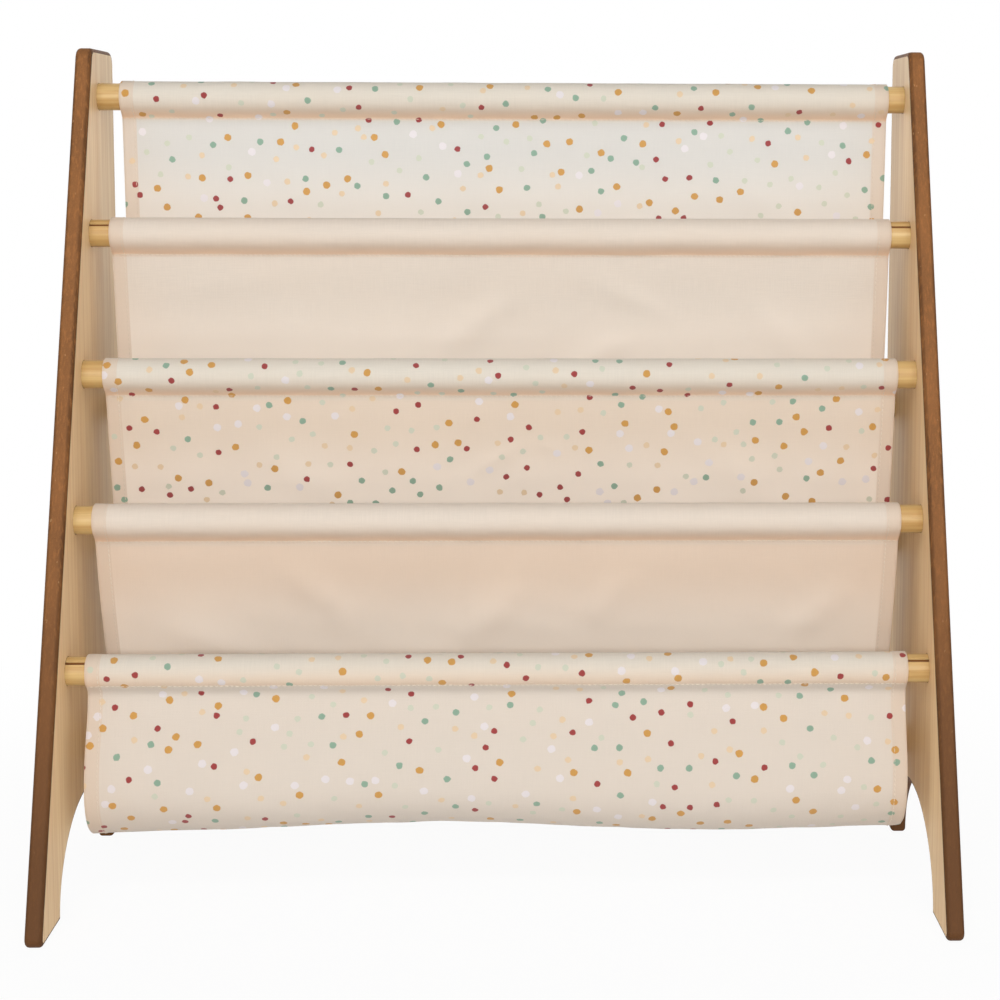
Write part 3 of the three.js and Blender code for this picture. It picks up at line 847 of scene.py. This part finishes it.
def sling_stretches(number):
    """The line of one sling as stretches in order, each with what it is.

    A stretch is a sleeve, a seam, a wall, the belly, or held on a pocket rod. The last sling runs from
    its pocket rod through the belly up to its sleeve. The others run from the pocket rod above, where
    there is one, up to their sleeve, over it and down to the next pocket rod.
    """
    rod = FRONT_RODS[number]
    behind, before = seam_point(number, 0, 1), seam_point(number, 0, -1)
    start = touch(behind, rod, SLEEVE_RADIUS, -1)
    end = touch(before, rod, SLEEVE_RADIUS, 1)
    end += 2 * math.pi if end < start else 0
    sleeve = arc(rod, SLEEVE_RADIUS, start, end, 90)
    tail = [seam_point(number, HEM_TAIL, 1), behind]
    under = np.array(seam_point(number, SEAM_WIDTH / 2, -1))
    if number == LAST:
        last = POCKET_RODS[-1]
        fold = arc(last, LAP_RADIUS, BELLY_LEAVING + LAP_LENGTH / LAP_RADIUS, BELLY_LEAVING)
        bottom = np.array([rod[0] - BELLY_FRONT + BELLY_DEPTH, rod[1] - BELLY_DROP])
        heading = np.array([math.sin(BELLY_LEAVING), -math.cos(BELLY_LEAVING)])
        reach = np.linalg.norm(fold[-1] - bottom) / 2
        rear = bezier(fold[-1], fold[-1] + heading * reach, bottom + (reach, 0), bottom)
        angle = np.linspace(-math.pi / 2, -math.pi, 61)
        front = bottom + np.stack([BELLY_DEPTH * np.cos(angle), BELLY_ROUND * (1 + np.sin(angle))], 1)
        rise = under[1] - front[-1][1]
        above = bezier(front[-1], front[-1] + (0, rise * 0.45), under - (1 * MM, rise * 0.35), under)
        return [
            ("held", fold),
            ("belly", np.concatenate([rear, front, above])),
            ("seam", straight(under, before, 4)),
            ("sleeve", np.concatenate([[before], sleeve[::-1], [behind]])),
            ("seam", straight(*tail[::-1], 8)),
        ]
    lap = LAP_LENGTH / 2
    stretches = [("seam", straight(*tail, 8))]
    if number > 0:
        last = POCKET_RODS[number - 1]
        top = seam_point(number, SEAM_WIDTH / 2, 1)
        first = -math.pi / 2 + lap / LAP_RADIUS
        leave = touch(top, last, LAP_RADIUS, -1)
        leave -= 2 * math.pi if leave > first else 0
        fold = arc(last, LAP_RADIUS, first, leave)
        stretches = [("held", fold), ("wall", straight(fold[-1], top)), ("seam", straight(top, behind, 4))]
    below = POCKET_RODS[number]
    meet = touch(under, below, SLEEVE_RADIUS, 1)
    fold_end = BELLY_LEAVING if number == LAST - 1 else -math.pi / 2
    fold = arc(below, SLEEVE_RADIUS, meet, fold_end - lap / SLEEVE_RADIUS)
    return stretches + [
        ("sleeve", np.concatenate([[behind], sleeve, [before]])),
        ("seam", straight(before, under, 4)),
        ("wall", hanging(under, fold[0], WALL_SAG)),
        ("held", fold),
    ]


def sling_line(number):
    """The line at even steps, its corners rounded by a bell-shaped mean.

    Returns the points, the length along them, how free the cloth is there (0 where it is held, 1 in the
    middle of a wall), how far down the belly they are (0 to 1), and the places of the two seams.
    """
    stretches = sling_stretches(number)
    kinds = np.concatenate([np.full(len(p), i) for i, (_, p) in enumerate(stretches)])
    points = np.concatenate([p for _, p in stretches])
    keep = np.concatenate([[True], np.linalg.norm(np.diff(points, axis=0), axis=1) > 1e-7])
    points, kinds = points[keep], kinds[keep]
    place = np.concatenate([[0], np.cumsum(np.linalg.norm(np.diff(points, axis=0), axis=1))])
    fine = np.linspace(0, place[-1], int(place[-1] / FINE_STEP))
    smooth = np.stack([np.interp(fine, place, points[:, k]) for k in (0, 1)], 1)
    width = int(4 * LINE_ROUNDING / FINE_STEP)
    bell = np.exp(-0.5 * (np.arange(-width, width + 1) * FINE_STEP / LINE_ROUNDING) ** 2)
    bell /= bell.sum()
    head = 2 * smooth[0] - smooth[width:0:-1]
    foot = 2 * smooth[-1] - smooth[-2 : -width - 2 : -1]
    padded = np.concatenate([head, smooth, foot])
    smooth = np.stack([np.convolve(padded[:, k], bell, "valid") for k in (0, 1)], 1)
    along = np.linspace(0, place[-1], int(round(place[-1] / LINE_STEP)) + 1)
    line = np.stack([np.interp(along, fine, smooth[:, k]) for k in (0, 1)], 1)
    free, belly, seams = np.zeros(len(along)), np.zeros(len(along)), []
    for i, (kind, _) in enumerate(stretches):
        ends = place[kinds == i]
        share = np.clip((along - ends[0]) / (ends[-1] - ends[0]), 0, 1)
        if kind in ("wall", "belly"):
            free += np.sin(math.pi * share) ** 0.8
        if kind == "sleeve":
            seams = [ends[0], ends[-1]]
        if kind == "belly":
            low = FRONT_RODS[LAST][1] - BELLY_DROP
            top = np.where(share < 0.5, POCKET_RODS[-1][1], seam_point(LAST, 0, 1)[1])
            inside = (share > 0) & (share < 1)
            belly = np.where(inside, np.clip((top - line[:, 1]) / (top - low), 0, 1), 0)
    return line, along, free, belly, seams


# Folds in the cloth. Each is a height over the place across (x) and the length along the sling (s).

RIPPLES = 8


def ripples(x, s, seed, size, lean=1.0):
    """A smooth random field: the scaled sum of cosines along seeded directions over seeded lengths."""
    random = np.random.default_rng(seed)
    angle = random.uniform(-1, 1, RIPPLES) * lean * math.pi / 2
    wave = 2 * math.pi / (size * random.uniform(0.7, 1.4, RIPPLES))
    phase = random.uniform(0, 2 * math.pi, RIPPLES)
    turn = x[..., None] * (np.cos(angle) * wave) + s[..., None] * (np.sin(angle) * wave) + phase
    return np.cos(turn).sum(-1) * math.sqrt(2 / RIPPLES) / 1.5


def crease(x, s, at, towards, width, height):
    """A soft ridge along a line between two places: a bell across it, and a rise and fall along it."""
    start, end = np.array(at), np.array(towards)
    run = end - start
    size = np.linalg.norm(run)
    along = ((x - start[0]) * run[0] + (s - start[1]) * run[1]) / size**2
    off = ((x - start[0]) * run[1] - (s - start[1]) * run[0]) / size
    rise = np.clip(1 - (2 * along - 1) ** 2, 0, 1)
    return height * np.exp(-((off / width) ** 2)) * rise**1.5


# How much each sling takes the painted light low in its pocket and the seam tint at its seams, which is
# double cloth with painted shade, and how much its wall takes the painted warm and cool light.
POCKET_LIGHT_SHARES = (0.5, 1.0, 1.0, 1.0, 0.0)
SEAM_SHARES = (1.0, 1.0, 1.0, 1.0, 0.6)
WALL_LIGHT_SHARES = ((0.0, 0.5), (0.0, 0.0), (0.45, 0.0), (0.55, 0.0), (0.35, 0.25))

# How high the belly's lowest line lies above its lowest place, at places across the shelf.
BELLY_X = np.array([-288, -250, -207, -165, -122, -80, -36, 6, 50, 92, 136, 180, 222, 266, 282, 288]) * MM
BELLY_LIFT = np.array([0.0, 2.0, 3.6, 5.9, 7.4, 7.3, 6.9, 6.0, 5.6, 3.9, 2.4, 2.4, 3.0, 4.2, 4.4, 5.0]) * MM

# Creases of each visible wall: from, to (x, and the length below the seam), width and height.
CREASES = {
    0: [((-0.20, 0.01), (-0.12, 0.10), 0.010, 0.0007), ((0.16, 0.02), (0.24, 0.11), 0.012, 0.0006)],
    1: [
        ((0.03, 0.012), (-0.06, 0.085), 0.011, 0.0020),
        ((0.05, 0.010), (0.13, 0.050), 0.009, 0.0020),
        ((0.10, 0.060), (0.03, 0.100), 0.010, 0.0022),
        ((0.17, 0.015), (0.24, 0.100), 0.012, 0.0016),
        ((-0.26, 0.03), (-0.15, 0.015), 0.010, 0.0014),
    ],
    2: [
        ((-0.03, 0.065), (0.02, 0.035), 0.006, 0.0009),
        ((0.02, 0.035), (0.05, 0.045), 0.006, 0.0008),
        ((-0.22, 0.02), (-0.10, 0.09), 0.012, 0.0007),
        ((0.12, 0.02), (0.21, 0.09), 0.012, 0.0007),
    ],
    3: [
        ((-0.16, 0.012), (-0.10, 0.075), 0.013, 0.0021),
        ((-0.25, 0.07), (-0.16, 0.10), 0.012, 0.0018),
        ((0.02, 0.03), (-0.03, 0.09), 0.012, 0.0018),
        ((0.10, 0.02), (0.06, 0.07), 0.012, 0.0016),
        ((0.20, 0.09), (0.26, 0.03), 0.012, 0.0018),
    ],
    4: [
        ((-0.10, 0.075), (0.02, 0.030), 0.012, 0.0012),
        ((0.04, 0.030), (0.12, 0.080), 0.012, 0.0011),
        ((-0.25, 0.02), (-0.17, 0.09), 0.013, 0.0009),
        ((0.20, 0.09), (0.26, 0.04), 0.012, 0.0011),
    ],
}


# Heights and mean lengths of the waves: middling and small ones in the walls, puckers at the seams, which
# run down the cloth and fade, and the ease in the sleeves, which is least at their tops.
MIDDLING_HEIGHT, MIDDLING_LENGTH = 0.45 * MM, 85 * MM
SMALL_HEIGHT, SMALL_LENGTH = 0.10 * MM, 28 * MM
BROAD_LENGTH = 300 * MM
PUCKER_HEIGHT, PUCKER_LENGTHS, PUCKER_FADE = 0.16 * MM, (10 * MM, 21 * MM), 5 * MM
EASE_HEIGHT, EASE_LENGTH, EASE_FADE = 0.22 * MM, 45 * MM, 14 * MM


def below_seam(number, s, seams):
    """The length along a sling, counted from the seam at the foot of its sleeve down the visible side."""
    return seams[0] - s if number == LAST else s - seams[1]


def sling_height(number, x, s, free, seams, settings):
    """How far the cloth stands off its line, at each place: waves, creases, puckers and sleeve ease."""
    to_seam = np.min([np.abs(s - place) for place in seams], 0)
    broad = settings.wave * ripples(x, s, 11 + number, BROAD_LENGTH, lean=0.5)
    middling = MIDDLING_HEIGHT * ripples(x, s, 31 + number, MIDDLING_LENGTH, lean=0.8)
    small = SMALL_HEIGHT * ripples(x, s, 51 + number, SMALL_LENGTH)
    height = (broad + middling + small) * free
    below = below_seam(number, s, seams)
    for at, towards, width, rise in CREASES[number]:
        height += crease(x, below, at, towards, width, rise) * np.minimum(1, free * 2)
    fine, coarse = PUCKER_LENGTHS
    puckers = ripples(x, s * 0.1, 71 + number, fine) + 0.6 * ripples(x, s * 0.1, 91 + number, coarse)
    height += PUCKER_HEIGHT * puckers * np.exp(-to_seam / PUCKER_FADE)
    in_sleeve = (s > seams[0]) & (s < seams[1])
    middle = np.clip(np.minimum(s - seams[0], seams[1] - s) / EASE_FADE, 0, 1)
    loose = EASE_HEIGHT * (1 + ripples(x, s, 111 + number, EASE_LENGTH)) * (1 - middle * 0.6)
    return np.where(in_sleeve, np.maximum(height, 0) + np.maximum(loose, 0), height)


def sling_grid(number, settings):
    """The middle surface of a sling: points and unit normals on a grid, its places, and its seams.

    A point is the line's point, plus the height along the line's normal, plus the belly's lift. The
    normal is the cross product of the surface's two slopes, on the side that is seen.
    """
    line, along, free, belly, seams = sling_line(number)
    band = HALF_WIDTH - SIDE_BAND
    side = np.linspace(band, HALF_WIDTH, SIDE_COLUMNS + 1)[1:]
    x = np.concatenate([-side[::-1], np.linspace(-band, band, MIDDLE_COLUMNS), side])
    slope = np.gradient(line, along, axis=0)
    slope /= np.linalg.norm(slope, axis=1, keepdims=True)
    turn = -1 if number == LAST else 1
    out = turn * np.stack([slope[:, 1], -slope[:, 0]], 1)
    X, S = np.meshgrid(x, along)
    height = sling_height(number, X, S, np.repeat(free[:, None], len(x), 1), seams, settings)
    lift = np.interp(x, BELLY_X, BELLY_LIFT)
    points = np.stack(
        [
            X + SLIDES[number] + BELLY_SLIDE * belly[:, None],
            line[:, :1] + out[:, :1] * height,
            line[:, 1:] + out[:, 1:] * height + belly[:, None] * lift[None],
        ],
        -1,
    )
    across = np.gradient(points, axis=1)
    down = np.gradient(points, axis=0)
    normal = np.cross(across, down) * (-turn)
    normal /= np.linalg.norm(normal, axis=-1, keepdims=True)
    if (normal[len(along) // 2, len(x) // 2, 1:] @ out[len(along) // 2]) < 0:
        normal = -normal
    return points, normal, X, S, seams


def sling_maps(number, places, seams):
    """The maps of a sling, as a pair for each place: x and the length along the cloth.

    sewn is the place itself. double is a bell across each seam, where the cloth lies double and, inside the
    sleeve, takes painted shade, and a smooth step of painted light down the pocket behind. wall is how much
    painted warm and cool light the visible wall takes.
    """
    s = places[:, 1]
    # Inside the sleeve the seam tint reaches far, as painted shade on its underside.
    inside = np.minimum(s - seams[0], seams[1] - s)
    spread = np.where(inside > 0, SEAM_INSIDE, SEAM_OUTSIDE)
    double = SEAM_SHARES[number] * np.exp(-((inside / spread) ** 2))
    # Painted light that grows down the pocket behind the visible wall.
    down = np.clip((s - seams[1] - POCKET_TOP) / POCKET_FADE, 0, 1)
    pocket = POCKET_LIGHT_SHARES[number] * down**2 * (3 - 2 * down)
    # How much painted warm and cool light the visible wall takes.
    wall = np.clip(below_seam(number, s, seams) / WALL_FADE, 0, 1)
    return {
        "sewn": places,
        "double": np.stack([double, pocket], -1),
        "wall": wall[:, None] * np.array(WALL_LIGHT_SHARES[number]),
    }


def sling_piece(name, number, settings, materials):
    """A sling with its thickness: the good side and the reverse of the grid, joined round the edges.

    Each row is a ring: the good side from left to right, a round edge, the reverse from right to left
    and a round edge. The hem stands out on both sides, and its stitching pulls a line into both.
    """
    points, normal, X, S, seams = sling_grid(number, settings)
    edge = HALF_WIDTH - np.abs(X)
    hem = np.clip((settings.hem - edge) / HEM_BEGINNING + 0.5, 0, 1)
    line = np.exp(-(((edge - settings.hem + HEM_LINE) / DENT_WIDTH) ** 2))
    half = settings.thickness / 2
    good = points + normal * (half + HEM_BEFORE * hem - DENT_BEFORE * line)[..., None]
    reverse = points - normal * (half + HEM_BEHIND * hem - DENT_BEHIND * line)[..., None]
    rows, columns = X.shape
    sideways = np.array([1, 0, 0]) * (half + ROUND_EDGE)
    right = (good[:, -1:] + reverse[:, -1:]) / 2 + sideways
    left = (good[:, :1] + reverse[:, :1]) / 2 - sideways
    ring = np.concatenate([good, right, reverse[:, ::-1], left], 1)
    sewn = np.stack([X, S], -1)
    places = np.concatenate([sewn, sewn[:, -1:], sewn[:, ::-1], sewn[:, :1]], 1).reshape(-1, 2)
    count = ring.shape[1]
    faces = [grid_faces(rows, count, closed=True)]
    column = np.tile(np.arange(count), rows - 1)
    kinds = [np.where((column > columns) & (column < 2 * columns), 1, 0)]
    for first, flip in ((0, False), ((rows - 1) * count, True)):
        a = np.arange(columns - 1)
        back = 2 * columns - a
        cap = np.stack([a, a + 1, back - 1, back], 1) + first
        tips = np.array([[columns - 1, columns, columns + 1], [2 * columns, 2 * columns + 1, 0]]) + first
        faces += [cap[:, ::-1], tips] if flip else [cap, tips]
        kinds += [np.zeros(len(cap)), np.zeros(2)]
    maps = sling_maps(number, places, seams)
    piece = add_piece(name, ring.reshape(-1, 3), faces, materials, 70, np.concatenate(kinds), maps)
    return piece, (good, reverse, normal, X, S, seams)


def stitch_rows(surfaces, settings):
    """Middles, headings and normals of all stitches: both sides of both seams and of both side hems."""
    good, reverse, normal, X, S, seams = surfaces
    x, s = X[0], S[:, 0]
    pitch = settings.stitch + STITCH_GAP
    runs = []
    for place in (seams[0] - SEAM_ROW, seams[1] + SEAM_ROW):
        across = np.arange(-HALF_WIDTH + ROW_START, HALF_WIDTH - ROW_END, pitch)
        runs.append((across, np.full(len(across), place), "across"))
    for side in (-1, 1):
        down = np.arange(ROW_END, s[-1] - ROW_END, pitch)
        runs.append((np.full(len(down), side * (HALF_WIDTH - settings.hem + HEM_LINE)), down, "down"))
    found = []
    for surface, facing in ((good, 1), (reverse, -1)):
        for a, d, kind in runs:
            column = np.interp(a, x, np.arange(len(x)))
            row = np.interp(d, s, np.arange(len(s)))
            c0 = np.clip(column.astype(int), 0, len(x) - 2)
            r0 = np.clip(row.astype(int), 0, len(s) - 2)
            fc, fr = (column - c0)[:, None], (row - r0)[:, None]
            corners = [surface[r0, c0], surface[r0, c0 + 1], surface[r0 + 1, c0], surface[r0 + 1, c0 + 1]]
            middle = (
                corners[0] * (1 - fc) * (1 - fr)
                + corners[1] * fc * (1 - fr)
                + corners[2] * (1 - fc) * fr
                + corners[3] * fc * fr
            )
            heading = corners[1] - corners[0] if kind == "across" else corners[2] - corners[0]
            heading = heading / np.linalg.norm(heading, axis=1, keepdims=True)
            found.append((middle, heading, normal[r0, c0] * facing))
    return [np.concatenate(part) for part in zip(*found)]


def stitching_piece(name, surfaces, settings, material):
    """All stitches of a sling: each a small spindle that arches over the cloth and dips in at its ends.

    At t from -1 to 1 along a stitch its radius is the thread's times the root of one minus t squared. Its
    middle stands off the cloth by three quarters of the thread's radius, less 1.1 times t squared of it.
    """
    middle, heading, up = stitch_rows(surfaces, settings)
    sideways = np.cross(heading, up)
    t = np.array([-0.97, -0.6, 0.0, 0.6, 0.97])
    angle = np.arange(6) * math.pi / 3
    radius = THREAD_RADIUS * np.sqrt(np.maximum(1 - t**2, 0.05))
    stand = THREAD_RADIUS * (0.75 - 1.1 * t**2)
    local = np.stack(
        [
            np.repeat(t[:, None] * settings.stitch / 2, 6, 1),
            radius[:, None] * np.cos(angle)[None],
            radius[:, None] * np.sin(angle)[None] + stand[:, None],
        ],
        -1,
    ).reshape(-1, 3)
    points = (
        middle[:, None]
        + local[None, :, :1] * heading[:, None]
        + local[None, :, 1:2] * sideways[:, None]
        + local[None, :, 2:] * up[:, None]
    )
    one = grid_faces(5, 6, closed=True)
    caps = np.array([[3, 2, 1, 0], [5, 4, 3, 0], [24, 25, 26, 27], [24, 27, 28, 29]])
    offset = (np.arange(len(middle)) * 30)[:, None, None]
    faces = [(one[None] + offset).reshape(-1, 4), (caps[None] + offset).reshape(-1, 4)]
    return add_piece(name, points.reshape(-1, 3), faces, [material], 80)


# Operators.


class BOOKSHELF_OT_boards(bpy.types.Operator):
    """Make the two side boards with their seats and screw holes"""

    bl_idname = "bookshelf.boards"
    bl_label = "Make boards"

    def execute(self, context):
        settings = context.scene.bookshelf_boards
        for name, side in (("left", -1), ("right", 1)):
            piece = board_piece(f"board_{name}", side, settings)
            hold(piece, [f"side_panel_{name}"])
        return {"FINISHED"}


class BOOKSHELF_OT_rods(bpy.types.Operator):
    """Make the nine wood rods with their grooves"""

    bl_idname = "bookshelf.rods"
    bl_label = "Make rods"

    def execute(self, context):
        settings = context.scene.bookshelf_rods
        # The second material is painted shade in the grooves.
        materials = [rod_material(settings), shaded_recess_material("rod_groove_shade", 0x5C3513, 0x7C5024)]
        names = [f"front_rod_{i}" for i in range(1, 6)] + [f"pocket_rod_{i}" for i in range(1, 5)]
        for node, middle, turn in zip(names, FRONT_RODS + POCKET_RODS, GROOVE_TURNS):
            piece = rod_piece(f"wood_{node}", middle, turn, settings, materials)
            hold(piece, [node])
        return {"FINISHED"}


class BOOKSHELF_OT_screws(bpy.types.Operator):
    """Make the eighteen sunk-head screws"""

    bl_idname = "bookshelf.screws"
    bl_label = "Make screws"

    def execute(self, context):
        settings = context.scene.bookshelf_screws
        material = steel_material(settings)
        for kind, rods in (("front", FRONT_RODS), ("pocket", POCKET_RODS)):
            for name, side in (("left", -1), ("right", 1)):
                for i, middle in enumerate(rods, 1):
                    node = f"{kind}_screw_{name}_{i}"
                    piece = screw_piece(f"steel_{node}", middle, side, settings, material)
                    hold(piece, [node])
        return {"FINISHED"}


class BOOKSHELF_OT_slings(bpy.types.Operator):
    """Make the five sewn slings and their stitching"""

    bl_idname = "bookshelf.slings"
    bl_label = "Make slings"

    def execute(self, context):
        settings = context.scene.bookshelf_slings
        thread = thread_material(settings)
        materials = {
            kind: [
                cloth_material(f"cloth_{kind}{side}", settings, tuple(ground), kind == "dotted", bool(side))
                for side in ("", "_reverse")
            ]
            for kind, ground in (("dotted", settings.dotted_ground), ("plain", settings.plain_ground))
        }
        for number in range(5):
            kind = "plain" if number % 2 else "dotted"
            name = f"sling_{number + 1}_{kind}"
            piece, surfaces = sling_piece(name, number, settings, materials[kind])
            stitching = stitching_piece(f"{name}_stitching", surfaces, settings, thread)
            hold(piece, [f"sling_cloth_{number + 1}_{kind}"])
            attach(stitching, "root")
        return {"FINISHED"}


class BOOKSHELF_OT_stage(bpy.types.Operator):
    """Make the floor, the white surroundings, the lamps and the camera"""

    bl_idname = "bookshelf.stage"
    bl_label = "Make stage"

    def execute(self, context):
        settings = context.scene.bookshelf_stage
        make_floor(settings)
        make_world(settings)
        make_lamps(settings)
        make_camera(settings)
        context.scene.view_settings.view_transform = "Standard"
        return {"FINISHED"}


# The floor: how far it reaches and how far it lies under the feet. Seen directly it is this white near the
# shelf, which keeps some of the shadow, and wholly white from the second of the two distances on.
FLOOR_REACH = 12.0
FLOOR_DROP = 0.2 * MM
FLOOR_WHITENESS = 0.93
FLOOR_FADE = (0.2, 0.8)


def make_floor(settings):
    """A wide plain floor, nearly white where it is seen, with a faint shadow that fades away far off."""
    steps = np.linspace(-FLOOR_REACH, FLOOR_REACH, 5)
    Y, X = np.meshgrid(steps, steps)
    points = np.stack([X, Y, np.full_like(X, -FLOOR_DROP)], -1).reshape(-1, 3)
    mesh = bpy.data.meshes.new("floor")
    mesh.from_pydata(points.tolist(), [], grid_faces(5, 5)[:, ::-1].tolist())
    floor = bpy.data.objects.new("floor", mesh)
    bpy.context.scene.collection.objects.link(floor)
    material = bpy.data.materials.new("floor_paper")
    material.use_nodes = True
    material.node_tree.nodes.clear()
    n = Nodes(material.node_tree)
    paper = n.add("BsdfDiffuse", {"Color": settings.floor})
    white = n.add("Emission", {"Strength": 1.0})
    away = n.add("VectorMath", {0: n.place()}, operation="LENGTH").outputs["Value"]
    share = n.math("MULTIPLY", n.seen(), n.step(away, *FLOOR_FADE, FLOOR_WHITENESS, 1.0))
    both = n.add("MixShader", {0: share, 1: paper.outputs[0], 2: white.outputs[0]})
    n.add("OutputMaterial", {0: both.outputs[0]})
    mesh.materials.append(material)


def make_world(settings):
    """White all round where it is seen, and a plain soft light from all round."""
    scene = bpy.context.scene
    if scene.world is None:
        scene.world = bpy.data.worlds.new("white_room")
    scene.world.use_nodes = True
    scene.world.node_tree.nodes.clear()
    n = Nodes(scene.world.node_tree)
    seen = n.add("Background", {"Color": (1, 1, 1), "Strength": 1.0})
    light = n.add("Background", {"Color": (1, 1, 1), "Strength": settings.sky})
    both = n.add("MixShader", {0: n.seen(), 1: light.outputs[0], 2: seen.outputs[0]})
    n.add("OutputWorld", {0: both.outputs[0]})


def aim(place, target):
    """A turn that looks from a place at a target, with +Z up."""
    back = np.array(place, float) - np.array(target, float)
    back /= np.linalg.norm(back)
    right = np.cross([0, 0, 1], back)
    right /= np.linalg.norm(right)
    up = np.cross(back, right)
    return Matrix([[right[k], up[k], back[k], place[k]] for k in range(3)] + [[0, 0, 0, 1]])


def make_lamps(settings):
    """A wide strip in front, a weaker one higher up, a weak lamp at each side, and a panel behind.

    Each is placed by its angle from straight ahead, its height in degrees and its distance, has a width
    and a height, and a share of the front lamp's power.
    """
    lamps = (
        ("front_strip", 0, 12, 3.0, (2.0, 0.45), 1.0),
        ("upper_strip", 0, 48, 3.0, (2.0, 0.45), 0.42),
        ("left_lamp", -50, 25, 3.0, (0.8, 0.8), 0.06),
        ("right_lamp", 50, 25, 3.0, (0.8, 0.8), 0.06),
        ("back_panel", 180, 15, 2.6, (2.0, 1.5), 0.3),
    )
    middle = np.array([0, 0, HEIGHT / 2])
    for name, turn, rise, distance, size, share in lamps:
        turn, rise = math.radians(turn), math.radians(rise)
        way = np.array([math.sin(turn) * math.cos(rise), -math.cos(turn) * math.cos(rise), math.sin(rise)])
        data = bpy.data.lights.new(name, "AREA")
        data.shape = "RECTANGLE"
        data.size, data.size_y = size
        data.energy = settings.key * share
        lamp = bpy.data.objects.new(name, data)
        bpy.context.scene.collection.objects.link(lamp)
        lamp.visible_camera = False
        lamp.matrix_world = aim(middle + distance * way, middle)


def make_camera(settings):
    """The camera of the photograph: turned by its three angles, with its lens and its shift.

    Turn and tilt make a right, a forward and an up direction, and the roll turns right into up.
    """
    turn, tilt, roll = settings.camera_turn
    right = np.array([math.cos(turn), math.sin(turn), 0])
    level = np.array([-math.sin(turn), math.cos(turn), 0])
    forward = math.cos(tilt) * level + math.sin(tilt) * np.array([0, 0, 1])
    up = -math.sin(tilt) * level + math.cos(tilt) * np.array([0, 0, 1])
    side = right * math.cos(roll) + up * math.sin(roll)
    top = up * math.cos(roll) - right * math.sin(roll)
    data = bpy.data.cameras.new("camera")
    data.sensor_width = 36
    data.lens = settings.lens
    data.shift_x, data.shift_y = settings.shift
    data.clip_start, data.clip_end = 0.05, 50
    camera = bpy.data.objects.new("camera", data)
    bpy.context.scene.collection.objects.link(camera)
    place = settings.camera_place
    camera.matrix_world = Matrix(
        [[side[k], top[k], -forward[k], place[k]] for k in range(3)] + [[0, 0, 0, 1]]
    )
    bpy.context.scene.camera = camera


class BOOKSHELF_PT_panel(bpy.types.Panel):
    """Sizes, colours and steps of the sling bookshelf"""

    bl_idname = "BOOKSHELF_PT_panel"
    bl_label = "Sling bookshelf"
    bl_space_type = "VIEW_3D"
    bl_region_type = "UI"
    bl_category = "Sling bookshelf"

    def draw(self, context):
        for step, operator in STEPS:
            box = self.layout.box()
            settings = getattr(context.scene, f"bookshelf_{step}")
            for key in settings.__annotations__:
                box.prop(settings, key)
            box.operator(operator.bl_idname)


STEPS = (
    ("boards", BOOKSHELF_OT_boards),
    ("rods", BOOKSHELF_OT_rods),
    ("screws", BOOKSHELF_OT_screws),
    ("slings", BOOKSHELF_OT_slings),
    ("stage", BOOKSHELF_OT_stage),
)
SETTINGS = {
    "boards": BoardSettings,
    "rods": RodSettings,
    "screws": ScrewSettings,
    "slings": SlingSettings,
    "stage": StageSettings,
}


def register():
    for step, group in SETTINGS.items():
        bpy.utils.register_class(group)
        setattr(bpy.types.Scene, f"bookshelf_{step}", PointerProperty(type=group))
    for _, operator in STEPS:
        bpy.utils.register_class(operator)
    bpy.utils.register_class(BOOKSHELF_PT_panel)


def unregister():
    bpy.utils.unregister_class(BOOKSHELF_PT_panel)
    for _, operator in reversed(STEPS):
        bpy.utils.unregister_class(operator)
    for step, group in reversed(SETTINGS.items()):
        delattr(bpy.types.Scene, f"bookshelf_{step}")
        bpy.utils.unregister_class(group)


def main():
    register()
    bpy.ops.bookshelf.boards()
    bpy.ops.bookshelf.rods()
    bpy.ops.bookshelf.screws()
    bpy.ops.bookshelf.slings()
    bpy.ops.bookshelf.stage()


if __name__ == "__main__":
    main()
